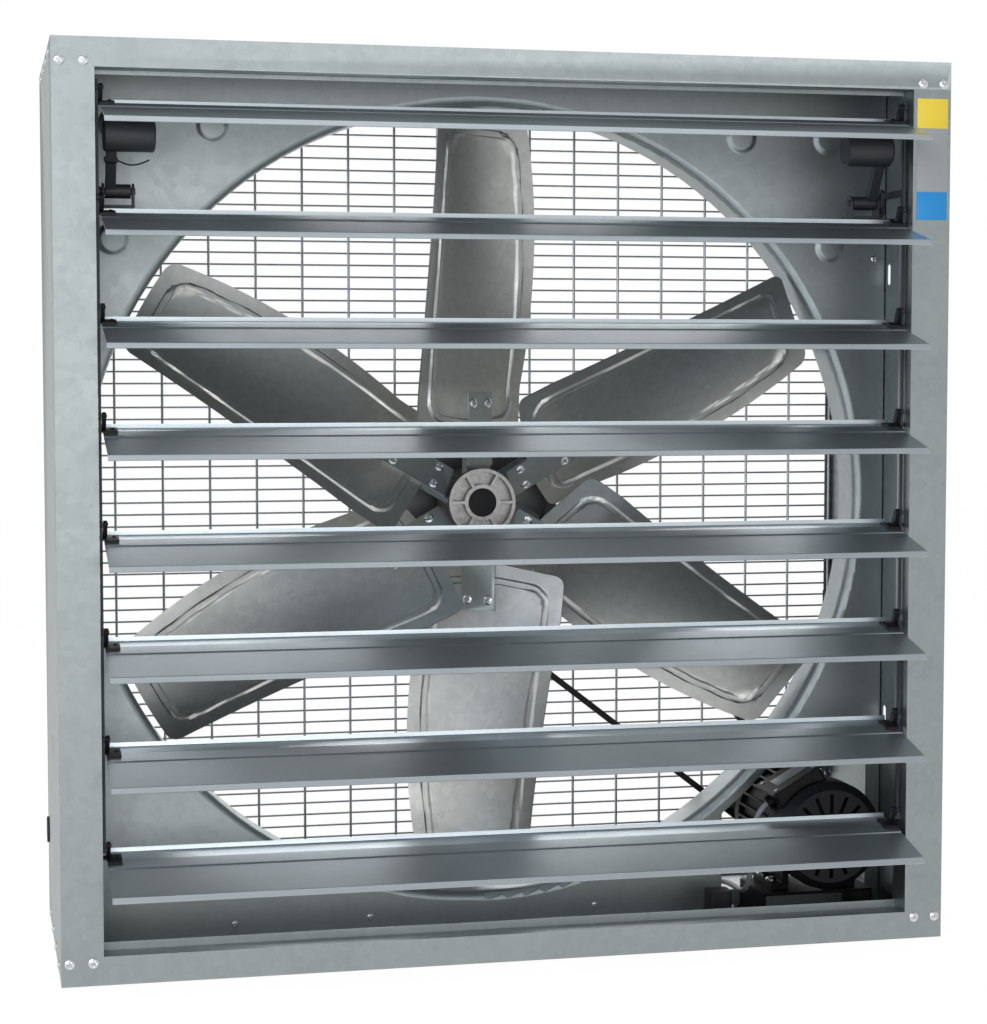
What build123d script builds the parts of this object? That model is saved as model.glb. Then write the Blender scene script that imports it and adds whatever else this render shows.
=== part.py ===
from build123d import *
import os
from math import acos, atan2, ceil, cos, degrees, floor, hypot, radians, sin, sqrt, tan

os.makedirs("parts", exist_ok=True)

# Belt driven axial extractor fan in a square sheet metal casing.
# The origin is the centre of the casing's bottom face. +X is to the right seen
# from the shutter side, +Y runs from the shutters to the wire guard, +Z is up.
# A "depth" is measured from the front face of the frame towards the guard.

# Casing and front frame
casing_size = 1100.0
casing_depth = 400.0
casing_sheet = 1.2
corner_flange = 20.0
rear_hem = 8.0
stile_width = 49.2
stile_return = 40.0
stile_lip = 10.0
rail_height = 34.2
rail_return = 30.0
sill_lip = 9.6
lintel_lip = 5.0
frame_fit = 0.2

# Fasteners
screw_head_radius = 6.0
screw_head_height = 2.6
screw_radius = 2.9
screw_length = 7.0
corner_screw_inset = 9.6
corner_screw_spacing = 27.4
corner_screw_height = 27.0
side_screw_inset = 11.0
side_screw_count = 4
tab_height = 24.0

# Wall fixing slots and cable outlet in the side panels
fixing_slot_width = 10.0
fixing_slot_length = 28.0
fixing_slot_depth = 190.0
fixing_slot_spacing = 590.0
outlet_depth = 366.0
outlet_rise = 115.0
outlet_radius = 8.0
grommet_wall = 4.0
grommet_flange = 5.0
grommet_flange_thickness = 3.0

# Louvres, seen in their open pose
louver_count = 8
louver_end_gap = 6.3
louver_sheet = 0.9
louver_pivot_depth = 28.0
lowest_pivot_height = 145.5
highest_pivot_drop = 70.4
closing_angle = 72.0
louver_tail_reach = 29.0
louver_tail_rise = 5.4
louver_tail_drop = 0.8
louver_step_reach = 6.5
louver_step_drop = 2.9
louver_bead_reach = 28.0
louver_bead_drop = 8.3
louver_bead_length = 1.5
louver_bead_height = 1.5
louver_nose_reach = 99.0
louver_nose_drop = 26.8
louver_lip_reach = 4.5
louver_lip_drop = 6.0

# Louvre end clips, cranks and link rods
clip_inner_reach = 17.0
clip_seat = 0.05
clip_end_plate = 0.75
clip_front_reach = 19.0
clip_rear_reach = 10.0
clip_thickness = 3.0
ear_thickness = 4.0
stub_radius = 2.5
running_fit = 0.05
crank_radius = 17.0
crank_angle = 113.0
crank_width = 9.0
rod_gap = 0.7
rod_thickness = 3.4
rod_width = 5.0
rod_end_overrun = 9.0
rod_eye_radius = 4.5
rivet_radius = 1.6
rivet_head_radius = 2.6
rivet_head_height = 1.2

# Hammers
hammer_depth = 88.0
hammer_above_pivot = 27.7
hammer_lean = 32.4
hammer_arm_width = 13.0
hammer_arm_thickness = 12.0
hammer_weight_radius = 20.0
hammer_weight_length = 60.0
hammer_weight_edge = 2.0
hammer_weight_gap = 5.5
hammer_weight_drop = 35.6
hammer_hub_radius = 8.5
hammer_pin_radius = 4.0
hammer_hub_gap = 9.5
hammer_hub_length = 30.0
tail_radius = 9.6
tail_thickness = 2.5
tail_width = 11.0
tail_pin_radius = 2.5
slot_clearance = 2.2
slot_offset = 1.4
slot_wall = 4.5
slot_arm_width = 9.0
bracket_sheet = 2.5
bracket_gap = 1.5
bracket_drop = 17.0
bracket_front = 17.0
bracket_rear = 52.0
bracket_neck = 26.0
bracket_ear = 19.0

# Ring panel with its bell mouth
ring_depth = 203.0
ring_side_margin = 42.0
ring_motor_gap = 1.7
ring_centre_drop = 2.0
bell_radius = 12.0
collar_depth = 56.0
panel_flange = 25.0
motor_cut_width = 203.0
motor_cut_side = 22.0
motor_cut_bottom = 26.0
motor_cut_top = 215.0
ring_strip = 10.0

# Impeller
blade_count = 6
blade_tip_gap = 8.0
blade_root_radius = 81.0
blade_sheet = 2.0
blade_depth = 233.0
blade_root_rise = 16.0
root_chord = 205.0
inner_chord = 202.0
outer_chord = 184.0
tip_chord = 140.0
root_angle = 38.0
outer_angle = 31.0
tip_angle = 25.0
root_shift = 22.0
inner_shift = 16.0
outer_shift = -9.0
tip_shift = -8.0
outer_camber = 14.0
tip_camber = 10.0
corner_round = 13.0
outline_margin = 3.0
arm_sheet = 3.0
arm_width = 48.0
arm_start = 47.0
arm_end = 142.0
pad_end = 78.0
pad_thickness = 8.0
blade_bolt_radius = 4.0
blade_bolt_head = 6.5
blade_bolt_head_height = 3.0
blade_bolt_reach = 15.0
blade_bolt_inner = 67.0
blade_bolt_outer = 128.0
blade_gap = 0.3
hub_front_depth = 210.0
hub_rear_depth = 292.0
hub_radius = 44.0
hub_recess_outer = 39.5
hub_recess_inner = 23.5
hub_recess_depth = 13.0
hub_rib_width = 4.0
bearing_outer_radius = 17.5
bearing_bore_radius = 7.55
bearing_width = 11.0
bearing_land = 15.0
bearing_inset = 12.0
cap_radius = 18.5
cap_height = 3.0
press_gap = 0.02

# Belt drive
belt_depth = 320.0
big_pitch_radius = 119.0
small_pitch_radius = 43.0
belt_top_width = 13.0
belt_bottom_width = 8.4
belt_height = 8.0
belt_gap = 0.3
belt_rise = 3.0
groove_extra = 2.0
pulley_rim = 5.0
rim_width = 22.0
web_thickness = 8.0
pulley_boss_radius = 36.0
pulley_bore_radius = 12.0
pulley_bolt_count = 6
pulley_bolt_depth = 14.0
pulley_bolt_circle = 27.0
pulley_bolt_radius = 3.0
pulley_bolt_head = 5.0
pulley_bolt_head_height = 4.0

# Beam and axle
beam_width = 50.0
beam_sheet = 3.0
beam_front_depth = 350.0
beam_flange = 38.0
axle_collar_radius = 20.0
axle_collar_thickness = 7.0
axle_nut_radius = 13.0
axle_nut_thickness = 12.0

# Motor
motor_side_gap = 125.0
motor_height = 122.0
motor_front_depth = 60.0
fan_cover_depth = 46.0
fan_cover_radius = 70.0
fan_cover_wall = 3.0
fan_cover_round = 10.0
fan_cover_slot_width = 5.0
fan_cover_slot_inner = 16.0
fan_cover_slot_outer = 54.0
fan_cover_slot_count = 16
shield_depth = 16.0
stator_depth = 112.0
stator_radius = 60.0
fin_height = 8.0
fin_width = 3.0
fin_count = 28
shield_radius = 66.0
shaft_radius = 9.5
shaft_flange = 20.0
box_front_depth = 76.0
box_width = 70.0
box_depth = 66.0
box_reach = 84.0
box_height = 26.0
box_round = 5.0
box_tilt = 30.0
box_lid = 4.0
gland_radius = 9.0
gland_length = 8.0
mount_front_depth = 108.0
mount_depth = 92.0
mount_sheet = 4.0
mount_width = 150.0
mount_foot_width = 28.0
mount_rise = 40.0
motor_foot_width = 24.0
motor_foot_depth = 70.0
motor_foot_height = 9.0
motor_foot_reach = 58.0
mount_bolt_inset = 18.0
mount_bolt_radius = 4.0
mount_bolt_head = 7.0
mount_bolt_head_height = 5.0
foot_block_reach = 145.0
foot_block_depth = 112.0
foot_block_width = 30.0
foot_block_height = 44.0
foot_block_round = 5.0

# Motor lead. Its places are x, depth, height and bend, with x from the motor's middle and then from the side.
lead_radius = 3.5
lead_clear = 0.4
lead_from_motor = [
    (-92.0, 109.0, 146.3, 24.0), (-92.0, 109.0, 34.0, 40.0), (-84.0, 245.0, 34.0, 40.0),
    (-125.0, 316.0, 5.3, 40.0), (-215.0, 324.0, 5.3, 60.0), (-365.0, 312.0, 5.3, 90.0),
]
lead_from_side = [
    (430.0, 328.0, 5.3, 90.0), (250.0, 314.0, 5.3, 90.0), (135.0, 322.0, 5.3, 60.0), (50.0, 360.0, 5.3, 40.0),
]
lead_wall_gap = 45.0
lead_wall_bend = 30.0
lead_end_gap = 2.0

# Wire guard
guard_wire = 3.6
guard_bar = 2.6
guard_wire_pitch = 62.8
guard_bar_pitch = 15.8
guard_wire_offset = -18.4
guard_border = 4.0
guard_edge_gap = 2.0
guard_clip_length = 30.0
guard_clip_reach = 12.0
guard_clip_sheet = 1.5
guard_clip_share = 0.29

# Derived places
front_y = -casing_depth / 2
rear_y = casing_depth / 2
half_width = casing_size / 2
fixing_slot_rise = (casing_size - fixing_slot_spacing) / 2
inner_half_width = half_width - casing_sheet
opening_half_width = half_width - stile_width
opening_bottom = rail_height
opening_top = casing_size - rail_height
axle_radius = bearing_bore_radius - running_fit
louver_half_length = opening_half_width - louver_end_gap
louver_pitch = (casing_size - lowest_pivot_height - highest_pivot_drop) / (louver_count - 1)
hammer_weight_rise = louver_pitch - hammer_above_pivot - hammer_weight_drop
hammer_arm_length = hammer_weight_rise / cos(radians(hammer_lean))
hammer_weight_outer = louver_half_length - hammer_weight_gap
hammer_hub_outer = louver_half_length - hammer_hub_gap
ring_centre_height = casing_size / 2 - ring_centre_drop
motor_x = half_width - motor_side_gap
motor_cut_right = half_width - motor_cut_side
motor_cut_left = motor_cut_right - motor_cut_width
motor_distance = hypot(motor_x, ring_centre_height - motor_height)
ring_room_beside_motor = motor_distance - fan_cover_radius - ring_motor_gap - ring_strip - bell_radius
ring_radius = min(half_width - ring_side_margin, ring_room_beside_motor)
blade_tip_radius = ring_radius - blade_tip_gap
foot_block_x = motor_x - foot_block_reach
lead_route = [(motor_x + x, depth, z, bend) for x, depth, z, bend in lead_from_motor]
lead_route += [(x - half_width, depth, z, bend) for x, depth, z, bend in lead_from_side]
lead_route += [
    (lead_wall_gap - half_width, outlet_depth, outlet_rise, lead_wall_bend),
    (lead_end_gap - half_width, outlet_depth, outlet_rise, 0),
]
beam_y = front_y + beam_front_depth
beam_screw_y = beam_y + beam_flange / 2
beam_screw_places = [-beam_width / 4, beam_width / 4]
beam_bottom = casing_sheet + clip_seat
beam_top = casing_size - beam_bottom
mount_front = front_y + mount_front_depth
mount_rear = mount_front + mount_depth
mount_low = casing_sheet + clip_seat
mount_top = mount_low + mount_rise
mount_bolt_x = (mount_width + mount_foot_width) / 2
mount_bolt_places = [(motor_x + side * mount_bolt_x, y) for side in (-1, 1)
                     for y in (mount_front + mount_bolt_inset, mount_rear - mount_bolt_inset)]


def at_depth(depth):
    return front_y + depth


def save(name, *solids):
    shape = solids[0] if len(solids) == 1 else Compound(children=list(solids))
    export_step(shape, f"parts/{name}.step")


def block(x0, x1, y0, y1, z0, z1):
    centre = Pos((x0 + x1) / 2, (y0 + y1) / 2, (z0 + z1) / 2)
    return centre * Box(abs(x1 - x0), abs(y1 - y0), abs(z1 - z0))


def round_x(radius, x0, x1, y, z):
    length = abs(x1 - x0)
    return Pos((x0 + x1) / 2, y, z) * Rot(0, 90, 0) * Cylinder(radius, length)


def round_y(radius, y0, y1, x, z):
    length = abs(y1 - y0)
    return Pos(x, (y0 + y1) / 2, z) * Rot(90, 0, 0) * Cylinder(radius, length)


def round_z(radius, z0, z1, x, y):
    length = abs(z1 - z0)
    return Pos(x, y, (z0 + z1) / 2) * Cylinder(radius, length)


def along_x(points, x0, x1):
    # Extrudes a closed outline of (y, z) points from x0 to x1.
    face = make_face(Polyline(*points, close=True))
    return extrude(Plane.YZ.offset(x0) * face, amount=x1 - x0)


def along_y(face, y0, y1):
    # Extrudes a face drawn in x and z from y0 to y1.
    return extrude(Plane.XZ.offset(-y0) * face, amount=y0 - y1)


def polygon(points):
    return make_face(Polyline(*points, close=True))


def turned(points, y_axis_x=0.0, y_axis_z=0.0):
    # Revolves a closed outline of (radius, y) points about an axis along Y.
    face = make_face(Polyline(*points, close=True))
    return Pos(y_axis_x, 0, y_axis_z) * revolve(Plane.XY * face, Axis.Y)


def bent_sheet(points, thickness):
    # Closed outline of a folded sheet whose left hand face follows the points.
    normals = []
    for (a0, b0), (a1, b1) in zip(points[:-1], points[1:]):
        length = hypot(a1 - a0, b1 - b0)
        normals.append(((b1 - b0) / length, -(a1 - a0) / length))
    offset = []
    for index, (a, b) in enumerate(points):
        before = normals[max(index - 1, 0)]
        after = normals[min(index, len(normals) - 1)]
        na, nb = before[0] + after[0], before[1] + after[1]
        share = 2 / (na * na + nb * nb)
        offset.append((a + na * share * thickness, b + nb * share * thickness))
    return list(points) + offset[::-1]


def mirrored(shape):
    return mirror(shape, about=Plane.YZ)


def on_side(side, shape):
    return shape if side > 0 else mirrored(shape)


sides = {"left": -1, "right": 1}


def dome(radius, height):
    # A low domed head that stands on the plane z = 0.
    ball_radius = (radius * radius + height * height) / (2 * height)
    ball = Pos(0, 0, height - ball_radius) * Sphere(ball_radius)
    return ball & Pos(0, 0, height / 2) * Cylinder(2 * radius, height)


facing = {
    "+x": Rot(0, 90, 0), "-x": Rot(0, -90, 0),
    "+y": Rot(-90, 0, 0), "-y": Rot(90, 0, 0),
    "+z": Rot(0, 0, 0), "-z": Rot(180, 0, 0),
}


def screw(way, x, y, z, head_radius, head_height, shank_radius, shank_length):
    # The head stands on a face at (x, y, z) and points along "way".
    shank = Pos(0, 0, -shank_length / 2) * Cylinder(shank_radius, shank_length)
    return Pos(x, y, z) * facing[way] * (dome(head_radius, head_height) + shank)


# Casing panels
slot_places = [fixing_slot_rise, fixing_slot_rise + fixing_slot_spacing]
side_screw_pitch = (casing_depth - stile_return) / side_screw_count
side_screw_depths = [stile_return / 2 + side_screw_pitch * (n + 0.5) for n in range(side_screw_count)]
side_screw_heights = [side_screw_inset, casing_size - side_screw_inset]


def side_panel(side):
    plate = block(inner_half_width, half_width, at_depth(casing_sheet), rear_y, 0, casing_size)
    hem = block(inner_half_width - rear_hem, inner_half_width, rear_y - casing_sheet, rear_y, 0, casing_size)
    panel = plate + hem
    slot_y = at_depth(fixing_slot_depth)
    for rise in slot_places:
        slot = SlotOverall(fixing_slot_length, fixing_slot_width, rotation=90)
        panel -= extrude(Plane.YZ.offset(inner_half_width) * Pos(slot_y, rise) * slot, amount=casing_sheet)
    for depth in side_screw_depths:
        for height in side_screw_heights:
            hole = screw_radius + running_fit
            panel -= round_x(hole, inner_half_width, half_width, at_depth(depth), height)
    if side < 0:
        hole = outlet_radius + grommet_wall
        panel -= round_x(hole, inner_half_width, half_width, at_depth(outlet_depth), outlet_rise)
    return on_side(side, panel)


def deck_panel():
    # A flat sheet with an upturned flange at each end and a hem behind.
    points = [
        (-inner_half_width, 0), (inner_half_width, 0),
        (inner_half_width, corner_flange), (inner_half_width - casing_sheet, corner_flange),
        (inner_half_width - casing_sheet, casing_sheet), (casing_sheet - inner_half_width, casing_sheet),
        (casing_sheet - inner_half_width, corner_flange), (-inner_half_width, corner_flange),
    ]
    deck = along_y(polygon(points), at_depth(casing_sheet), rear_y)
    hem_end = inner_half_width - rear_hem
    deck += block(-hem_end, hem_end, rear_y - casing_sheet, rear_y, casing_sheet, rear_hem)
    for side in (-1, 1):
        hem_ends = [side * hem_end, side * inner_half_width]
        deck -= block(*hem_ends, rear_y - casing_sheet, rear_y, 0, corner_flange)
        for depth in side_screw_depths:
            wall = [side * (inner_half_width - casing_sheet), side * inner_half_width]
            deck -= round_x(screw_radius + running_fit, *wall, at_depth(depth), side_screw_inset)
    for x in beam_screw_places:
        deck -= round_z(screw_radius + running_fit, 0, casing_sheet, x, beam_screw_y)
    return deck


def bottom_panel():
    panel = deck_panel()
    for x, y in mount_bolt_places:
        panel -= round_z(mount_bolt_radius + running_fit, 0, casing_sheet, x, y)
    return panel


def upside_down(shape):
    # The matching piece at the top of the casing.
    return mirror(shape, about=Plane.XY.offset(casing_size / 2))


save("side_panel_left", side_panel(-1))
save("side_panel_right", side_panel(1))
save("bottom_panel", bottom_panel())
save("top_panel", upside_down(deck_panel()))

# Front frame
pivot_heights = [lowest_pivot_height + louver_pitch * n for n in range(louver_count)][::-1]
pivot_y = at_depth(louver_pivot_depth)
stub_hole = stub_radius + running_fit
outer_screw_x = half_width - corner_screw_inset
corner_screw_places = [outer_screw_x, outer_screw_x - corner_screw_spacing]


def stile(side):
    front = (opening_half_width, front_y)
    outline = [
        (half_width, front_y), front, (opening_half_width, at_depth(stile_return)),
        (opening_half_width + stile_lip, at_depth(stile_return)),
        (opening_half_width + stile_lip, at_depth(stile_return - casing_sheet)),
        (opening_half_width + casing_sheet, at_depth(stile_return - casing_sheet)),
        (opening_half_width + casing_sheet, at_depth(casing_sheet)), (half_width, at_depth(casing_sheet)),
    ]
    face = make_face(Polyline(*outline, close=True))
    piece = Pos(0, 0, opening_bottom) * extrude(face, amount=opening_top - opening_bottom)
    for low, high in ((opening_bottom - tab_height, opening_bottom), (opening_top, opening_top + tab_height)):
        tab_y = at_depth(casing_sheet)
        tab_x = opening_half_width + casing_sheet
        tab = block(tab_x, inner_half_width - casing_sheet, tab_y, tab_y + casing_sheet, low, high)
        root = block(tab_x, inner_half_width - casing_sheet, tab_y, tab_y + casing_sheet,
                     max(opening_bottom, low - casing_sheet), min(opening_top, high + casing_sheet))
        piece += tab + root
    for x in corner_screw_places:
        for z in (corner_screw_height, casing_size - corner_screw_height):
            piece -= round_y(screw_radius + running_fit, front_y, at_depth(2 * casing_sheet), x, z)
    for height in pivot_heights:
        piece -= round_x(stub_hole, opening_half_width, opening_half_width + casing_sheet, pivot_y, height)
    return on_side(side, piece)


def rail(lip):
    # The bottom rail: full width face, then a sill between the stiles with an upturned lip.
    face = block(-half_width, half_width, front_y, at_depth(casing_sheet), 0, rail_height)
    end = opening_half_width - frame_fit
    sill = block(-end, end, front_y, at_depth(rail_return), rail_height - casing_sheet, rail_height)
    stop_y = at_depth(rail_return)
    stop = block(-end, end, stop_y, stop_y + casing_sheet, rail_height - casing_sheet, rail_height + lip)
    piece = face + sill + stop
    for side in (-1, 1):
        for x in corner_screw_places:
            hole = screw_radius + running_fit
            piece -= round_y(hole, front_y, at_depth(casing_sheet), side * x, corner_screw_height)
    return piece


save("front_stile_left", stile(-1))
save("front_stile_right", stile(1))
save("front_rail_bottom", rail(sill_lip))
save("front_rail_top", upside_down(rail(lintel_lip)))

frame_screws = []
for side, way in ((-1, "-x"), (1, "+x")):
    for height in side_screw_heights:
        for depth in side_screw_depths:
            frame_screws.append(screw(way, side * half_width, at_depth(depth), height, screw_head_radius,
                                      screw_head_height, screw_radius, screw_length))
    for height in (corner_screw_height, casing_size - corner_screw_height):
        for x in corner_screw_places:
            frame_screws.append(screw("-y", side * x, front_y, height, screw_head_radius,
                                      screw_head_height, screw_radius, screw_length))
for x in beam_screw_places:
    foot_top = beam_bottom + beam_sheet
    foot_screw = screw("+z", x, beam_screw_y, foot_top, screw_head_radius, screw_head_height, screw_radius,
                       foot_top)
    frame_screws += [foot_screw, upside_down(foot_screw)]

# Ring panel with its rolled bell mouth and the cut-out for the motor
panel_half_width = inner_half_width - casing_sheet
panel_y = at_depth(ring_depth)


def ring_panel():
    low, high = casing_sheet, casing_size - casing_sheet
    plate = block(-panel_half_width, panel_half_width, panel_y, panel_y + casing_sheet, low, high)
    behind = panel_y + panel_flange
    for side in (-1, 1):
        edge = side * panel_half_width
        plate += block(edge, edge - side * casing_sheet, panel_y, behind, low, high)
    for z0, z1 in ((low, low + casing_sheet), (high - casing_sheet, high)):
        plate += block(-panel_half_width, panel_half_width, panel_y, behind, z0, z1)
    hole_radius = ring_radius + bell_radius
    plate -= round_y(hole_radius, panel_y, behind, 0, ring_centre_height)
    cut = Pos((motor_cut_left + motor_cut_right) / 2, (motor_cut_bottom + motor_cut_top) / 2)
    cut_face = cut * Rectangle(motor_cut_right - motor_cut_left, motor_cut_top - motor_cut_bottom)
    cut_face -= Pos(0, ring_centre_height) * Circle(hole_radius + ring_strip)
    plate -= along_y(cut_face, panel_y, panel_y + casing_sheet)
    arc_share = sqrt(0.5)
    outer_share = bell_radius * arc_share
    inner_share = (bell_radius - casing_sheet) * arc_share
    inner = [(ring_radius, panel_y + bell_radius), (hole_radius, panel_y)]
    roll_y = panel_y + bell_radius
    section = Polyline((hole_radius, panel_y + casing_sheet), (hole_radius, panel_y))
    outer_arc = ThreePointArc(inner[1], (hole_radius - outer_share, roll_y - outer_share), inner[0])
    collar_end = panel_y + collar_depth
    walls = Polyline(inner[0], (ring_radius, collar_end), (ring_radius + casing_sheet, collar_end),
                     (ring_radius + casing_sheet, roll_y))
    inner_arc = ThreePointArc((ring_radius + casing_sheet, roll_y),
                              (hole_radius - inner_share, roll_y - inner_share),
                              (hole_radius, panel_y + casing_sheet))
    collar = revolve(make_face(section + outer_arc + walls + inner_arc), Axis.Y)
    return plate + Pos(0, 0, ring_centre_height) * collar


save("ring_panel", ring_panel())

# Louvres with their end clips
step_slope = (louver_step_drop - louver_tail_drop) / (louver_tail_reach + louver_step_reach)
bead_front = louver_bead_reach + louver_bead_length
seat_slope = (louver_bead_drop - louver_step_drop) / (louver_bead_reach - louver_step_reach)
nose = (-louver_nose_reach, -louver_nose_drop)
louver_top = [
    (louver_tail_reach, louver_tail_rise), (louver_tail_reach, -louver_tail_drop),
    (-louver_step_reach, -louver_step_drop), (-louver_bead_reach, -louver_bead_drop),
    (-bead_front, -louver_bead_drop - louver_bead_height),
    nose, (nose[0] - louver_lip_reach, nose[1] - louver_lip_drop),
]


def moved(points, y, z):
    return [(a + y, b + z) for a, b in points]


def louver(height):
    # The folded blade. The listed points are its underside, the sheet lies above them.
    outline = moved(bent_sheet(louver_top, louver_sheet), pivot_y, height)
    return along_x(outline, -louver_half_length, louver_half_length)


def crank_eye(radius, x0, x1, height, reach):
    # A flat link from the pivot to the crank pin, rounded at both ends.
    pin_y = pivot_y + reach * cos(radians(crank_angle))
    pin_z = height + reach * sin(radians(crank_angle))
    link = Pos(pivot_y, height) * Rot(0, 0, crank_angle) * Pos(reach / 2, 0)
    face = link * Rectangle(reach, 2 * radius) + Pos(pivot_y, height) * Circle(radius)
    face += Pos(pin_y, pin_z) * Circle(radius)
    return extrude(Plane.YZ.offset(x0) * face, amount=x1 - x0)


def clip_solids(side, height):
    # A moulded clip on the louvre's end with its pivot stub and crank, and its fixing rivet.
    inner = louver_half_length - clip_inner_reach
    seat = louver_half_length + clip_seat
    plate_end = seat + clip_end_plate
    sheet_top = bent_sheet(louver_top, louver_sheet + clip_seat)[len(louver_top):][::-1]
    step = sheet_top[2]
    front_drop = louver_step_drop + seat_slope * (clip_front_reach - louver_step_reach)
    front_drop -= louver_sheet + clip_seat
    rear_drop = -step[1] - step_slope * (louver_step_reach + clip_rear_reach)
    foot = [(clip_rear_reach, -rear_drop), step, (-clip_front_reach, -front_drop)]
    wedge = foot + [(a, b + clip_thickness) for a, b in foot[::-1]]
    body = along_x(moved(wedge, pivot_y, height), inner, seat)
    ear = crank_eye(crank_width / 2, seat - ear_thickness, seat, height, crank_radius)
    below = [foot[0], step, foot[-1], (-clip_front_reach, -clip_front_reach),
             (clip_rear_reach, -clip_front_reach)]
    ear -= along_x(moved(below, pivot_y, height), inner, seat)
    body += ear
    body += crank_eye(crank_width / 2, seat, plate_end, height, crank_radius)
    stub_end = opening_half_width + 2 * casing_sheet
    body += round_x(stub_radius, seat, stub_end, pivot_y, height)
    pin_y = pivot_y + crank_radius * cos(radians(crank_angle))
    pin_z = height + crank_radius * sin(radians(crank_angle))
    body -= round_x(rivet_radius + running_fit, seat - ear_thickness, plate_end, pin_y, pin_z)
    rivet_x = inner + rivet_head_radius * 2
    rivet_y = pivot_y + step[0] + rivet_head_radius / 2
    rivet_z = height + step[1] + clip_thickness
    head = Pos(rivet_x, rivet_y, rivet_z) * dome(rivet_head_radius, rivet_head_height)
    head += round_z(rivet_radius, rivet_z - clip_thickness / 2, rivet_z, rivet_x, rivet_y)
    body -= round_z(rivet_radius, rivet_z - clip_thickness, rivet_z + clip_thickness, rivet_x, rivet_y)
    return [on_side(side, body), on_side(side, head)]


for number, height in enumerate(pivot_heights, start=1):
    save(f"louver_{number}", louver(height))
    save(f"louver_clips_{number}", *clip_solids(-1, height), *clip_solids(1, height))

# Link rods that join the cranks, each with an arm whose slot the hammer's tail works in
rod_inner = louver_half_length + clip_seat + clip_end_plate + rod_gap
rod_outer = rod_inner + rod_thickness
pin_reach = (crank_radius * cos(radians(crank_angle)), crank_radius * sin(radians(crank_angle)))
rod_y = pivot_y + pin_reach[0]
hammer_y = at_depth(hammer_depth)
hammer_z = pivot_heights[1] + hammer_above_pivot
lean = radians(hammer_lean)
tail_y = hammer_y + tail_radius * sin(lean)
tail_z = hammer_z - tail_radius * cos(lean)
rod_drop = crank_radius * (sin(radians(crank_angle)) - sin(radians(crank_angle + closing_angle)))


def slot_face(width, low, high, y):
    return Pos(y, (low + high) / 2) * SlotOverall(high - low + width, width, rotation=90)


def link_rod(side):
    low = pivot_heights[-1] + pin_reach[1] - rod_end_overrun
    high = pivot_heights[0] + pin_reach[1] + rod_end_overrun
    rod = block(rod_inner, rod_outer, rod_y - rod_width / 2, rod_y + rod_width / 2, low, high)
    ear_inner = louver_half_length + clip_seat - ear_thickness
    for height in pivot_heights:
        pin_z = height + pin_reach[1]
        rod += round_x(rod_eye_radius, rod_inner, rod_outer, rod_y, pin_z)
        head_x = ear_inner - 2 * clip_seat
        rod += round_x(rivet_radius, head_x, rod_inner, rod_y, pin_z)
        rod += Pos(head_x, rod_y, pin_z) * facing["-x"] * dome(rivet_head_radius, rivet_head_height)
    slot_y = tail_y + slot_offset
    slot_width = 2 * (tail_pin_radius + slot_clearance)
    slot_top = tail_z + rod_drop
    outer = slot_face(slot_width + 2 * slot_wall, tail_z, slot_top, slot_y)
    inner = slot_face(slot_width, tail_z, slot_top, slot_y)
    arm_top = slot_top + slot_arm_width / 2
    arm = block(rod_inner, rod_outer, rod_y, slot_y, arm_top - slot_arm_width, arm_top)
    rod += arm + extrude(Plane.YZ.offset(rod_inner) * outer, amount=rod_thickness)
    rod -= extrude(Plane.YZ.offset(rod_inner) * inner, amount=rod_thickness)
    return on_side(side, rod)


# Hammers: bracket on the wall, arm with its hub, pin and tail, and the weight
hub_inner = hammer_hub_outer - hammer_hub_length
inner_ear_x = hub_inner - bracket_gap - bracket_sheet
outer_ear_x = hammer_hub_outer + bracket_gap
tail_x = outer_ear_x + bracket_sheet + 2 * bracket_gap / 3
weight_y = hammer_y - hammer_arm_length * sin(lean)
weight_z = hammer_z + hammer_arm_length * cos(lean)
arm_x = hammer_hub_outer - hammer_arm_thickness / 2


def hammer_bracket(side):
    top = hammer_z - bracket_drop
    ear_top = hammer_z + bracket_ear / 2
    front, rear = hammer_y - bracket_front, hammer_y + bracket_rear
    neck = hammer_y + bracket_neck
    shelf = block(inner_ear_x, outer_ear_x + bracket_sheet, front, rear, top - bracket_sheet, top)
    shelf += block(outer_ear_x, inner_half_width, neck, rear, top - bracket_sheet, top)
    flange_x = inner_half_width - bracket_sheet
    shelf += block(flange_x, inner_half_width, neck, rear, top, ear_top + bracket_ear / 2)
    for x in (inner_ear_x, outer_ear_x):
        half = bracket_ear / 2
        ear = block(x, x + bracket_sheet, hammer_y - half, hammer_y + half, top, hammer_z)
        ear += round_x(half, x, x + bracket_sheet, hammer_y, hammer_z)
        shelf += ear - round_x(hammer_pin_radius + running_fit, x, x + bracket_sheet, hammer_y, hammer_z)
    return on_side(side, shelf)


def along_arm(shape):
    # Places a shape drawn upwards from the hammer's pivot along the leaning arm.
    return Pos(0, hammer_y, hammer_z) * Rot(hammer_lean, 0, 0) * shape


def hammer_arm(side):
    arm = round_x(hammer_hub_radius, hub_inner, hammer_hub_outer, hammer_y, hammer_z)
    pin_start = inner_ear_x - bracket_gap
    arm += round_x(hammer_pin_radius, pin_start, tail_x + tail_thickness, hammer_y, hammer_z)
    half = hammer_arm_thickness / 2
    reach = hammer_arm_length - hammer_weight_radius / 2
    bar = block(arm_x - half, arm_x + half, -hammer_arm_width / 2, hammer_arm_width / 2, 0, reach)
    tail = block(tail_x, tail_x + tail_thickness, -tail_width / 2, tail_width / 2, -tail_radius, 0)
    tail += round_x(tail_width / 2, tail_x, tail_x + tail_thickness, 0, -tail_radius)
    tail += round_x(tail_width / 2, tail_x, tail_x + tail_thickness, 0, 0)
    tail += round_x(tail_pin_radius, tail_x, rod_outer + tail_thickness / 2, 0, -tail_radius)
    arm += along_arm(bar + tail)
    arm -= round_x(hammer_weight_radius + press_gap, hub_inner, hammer_hub_outer, weight_y, weight_z)
    return on_side(side, arm)


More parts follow.
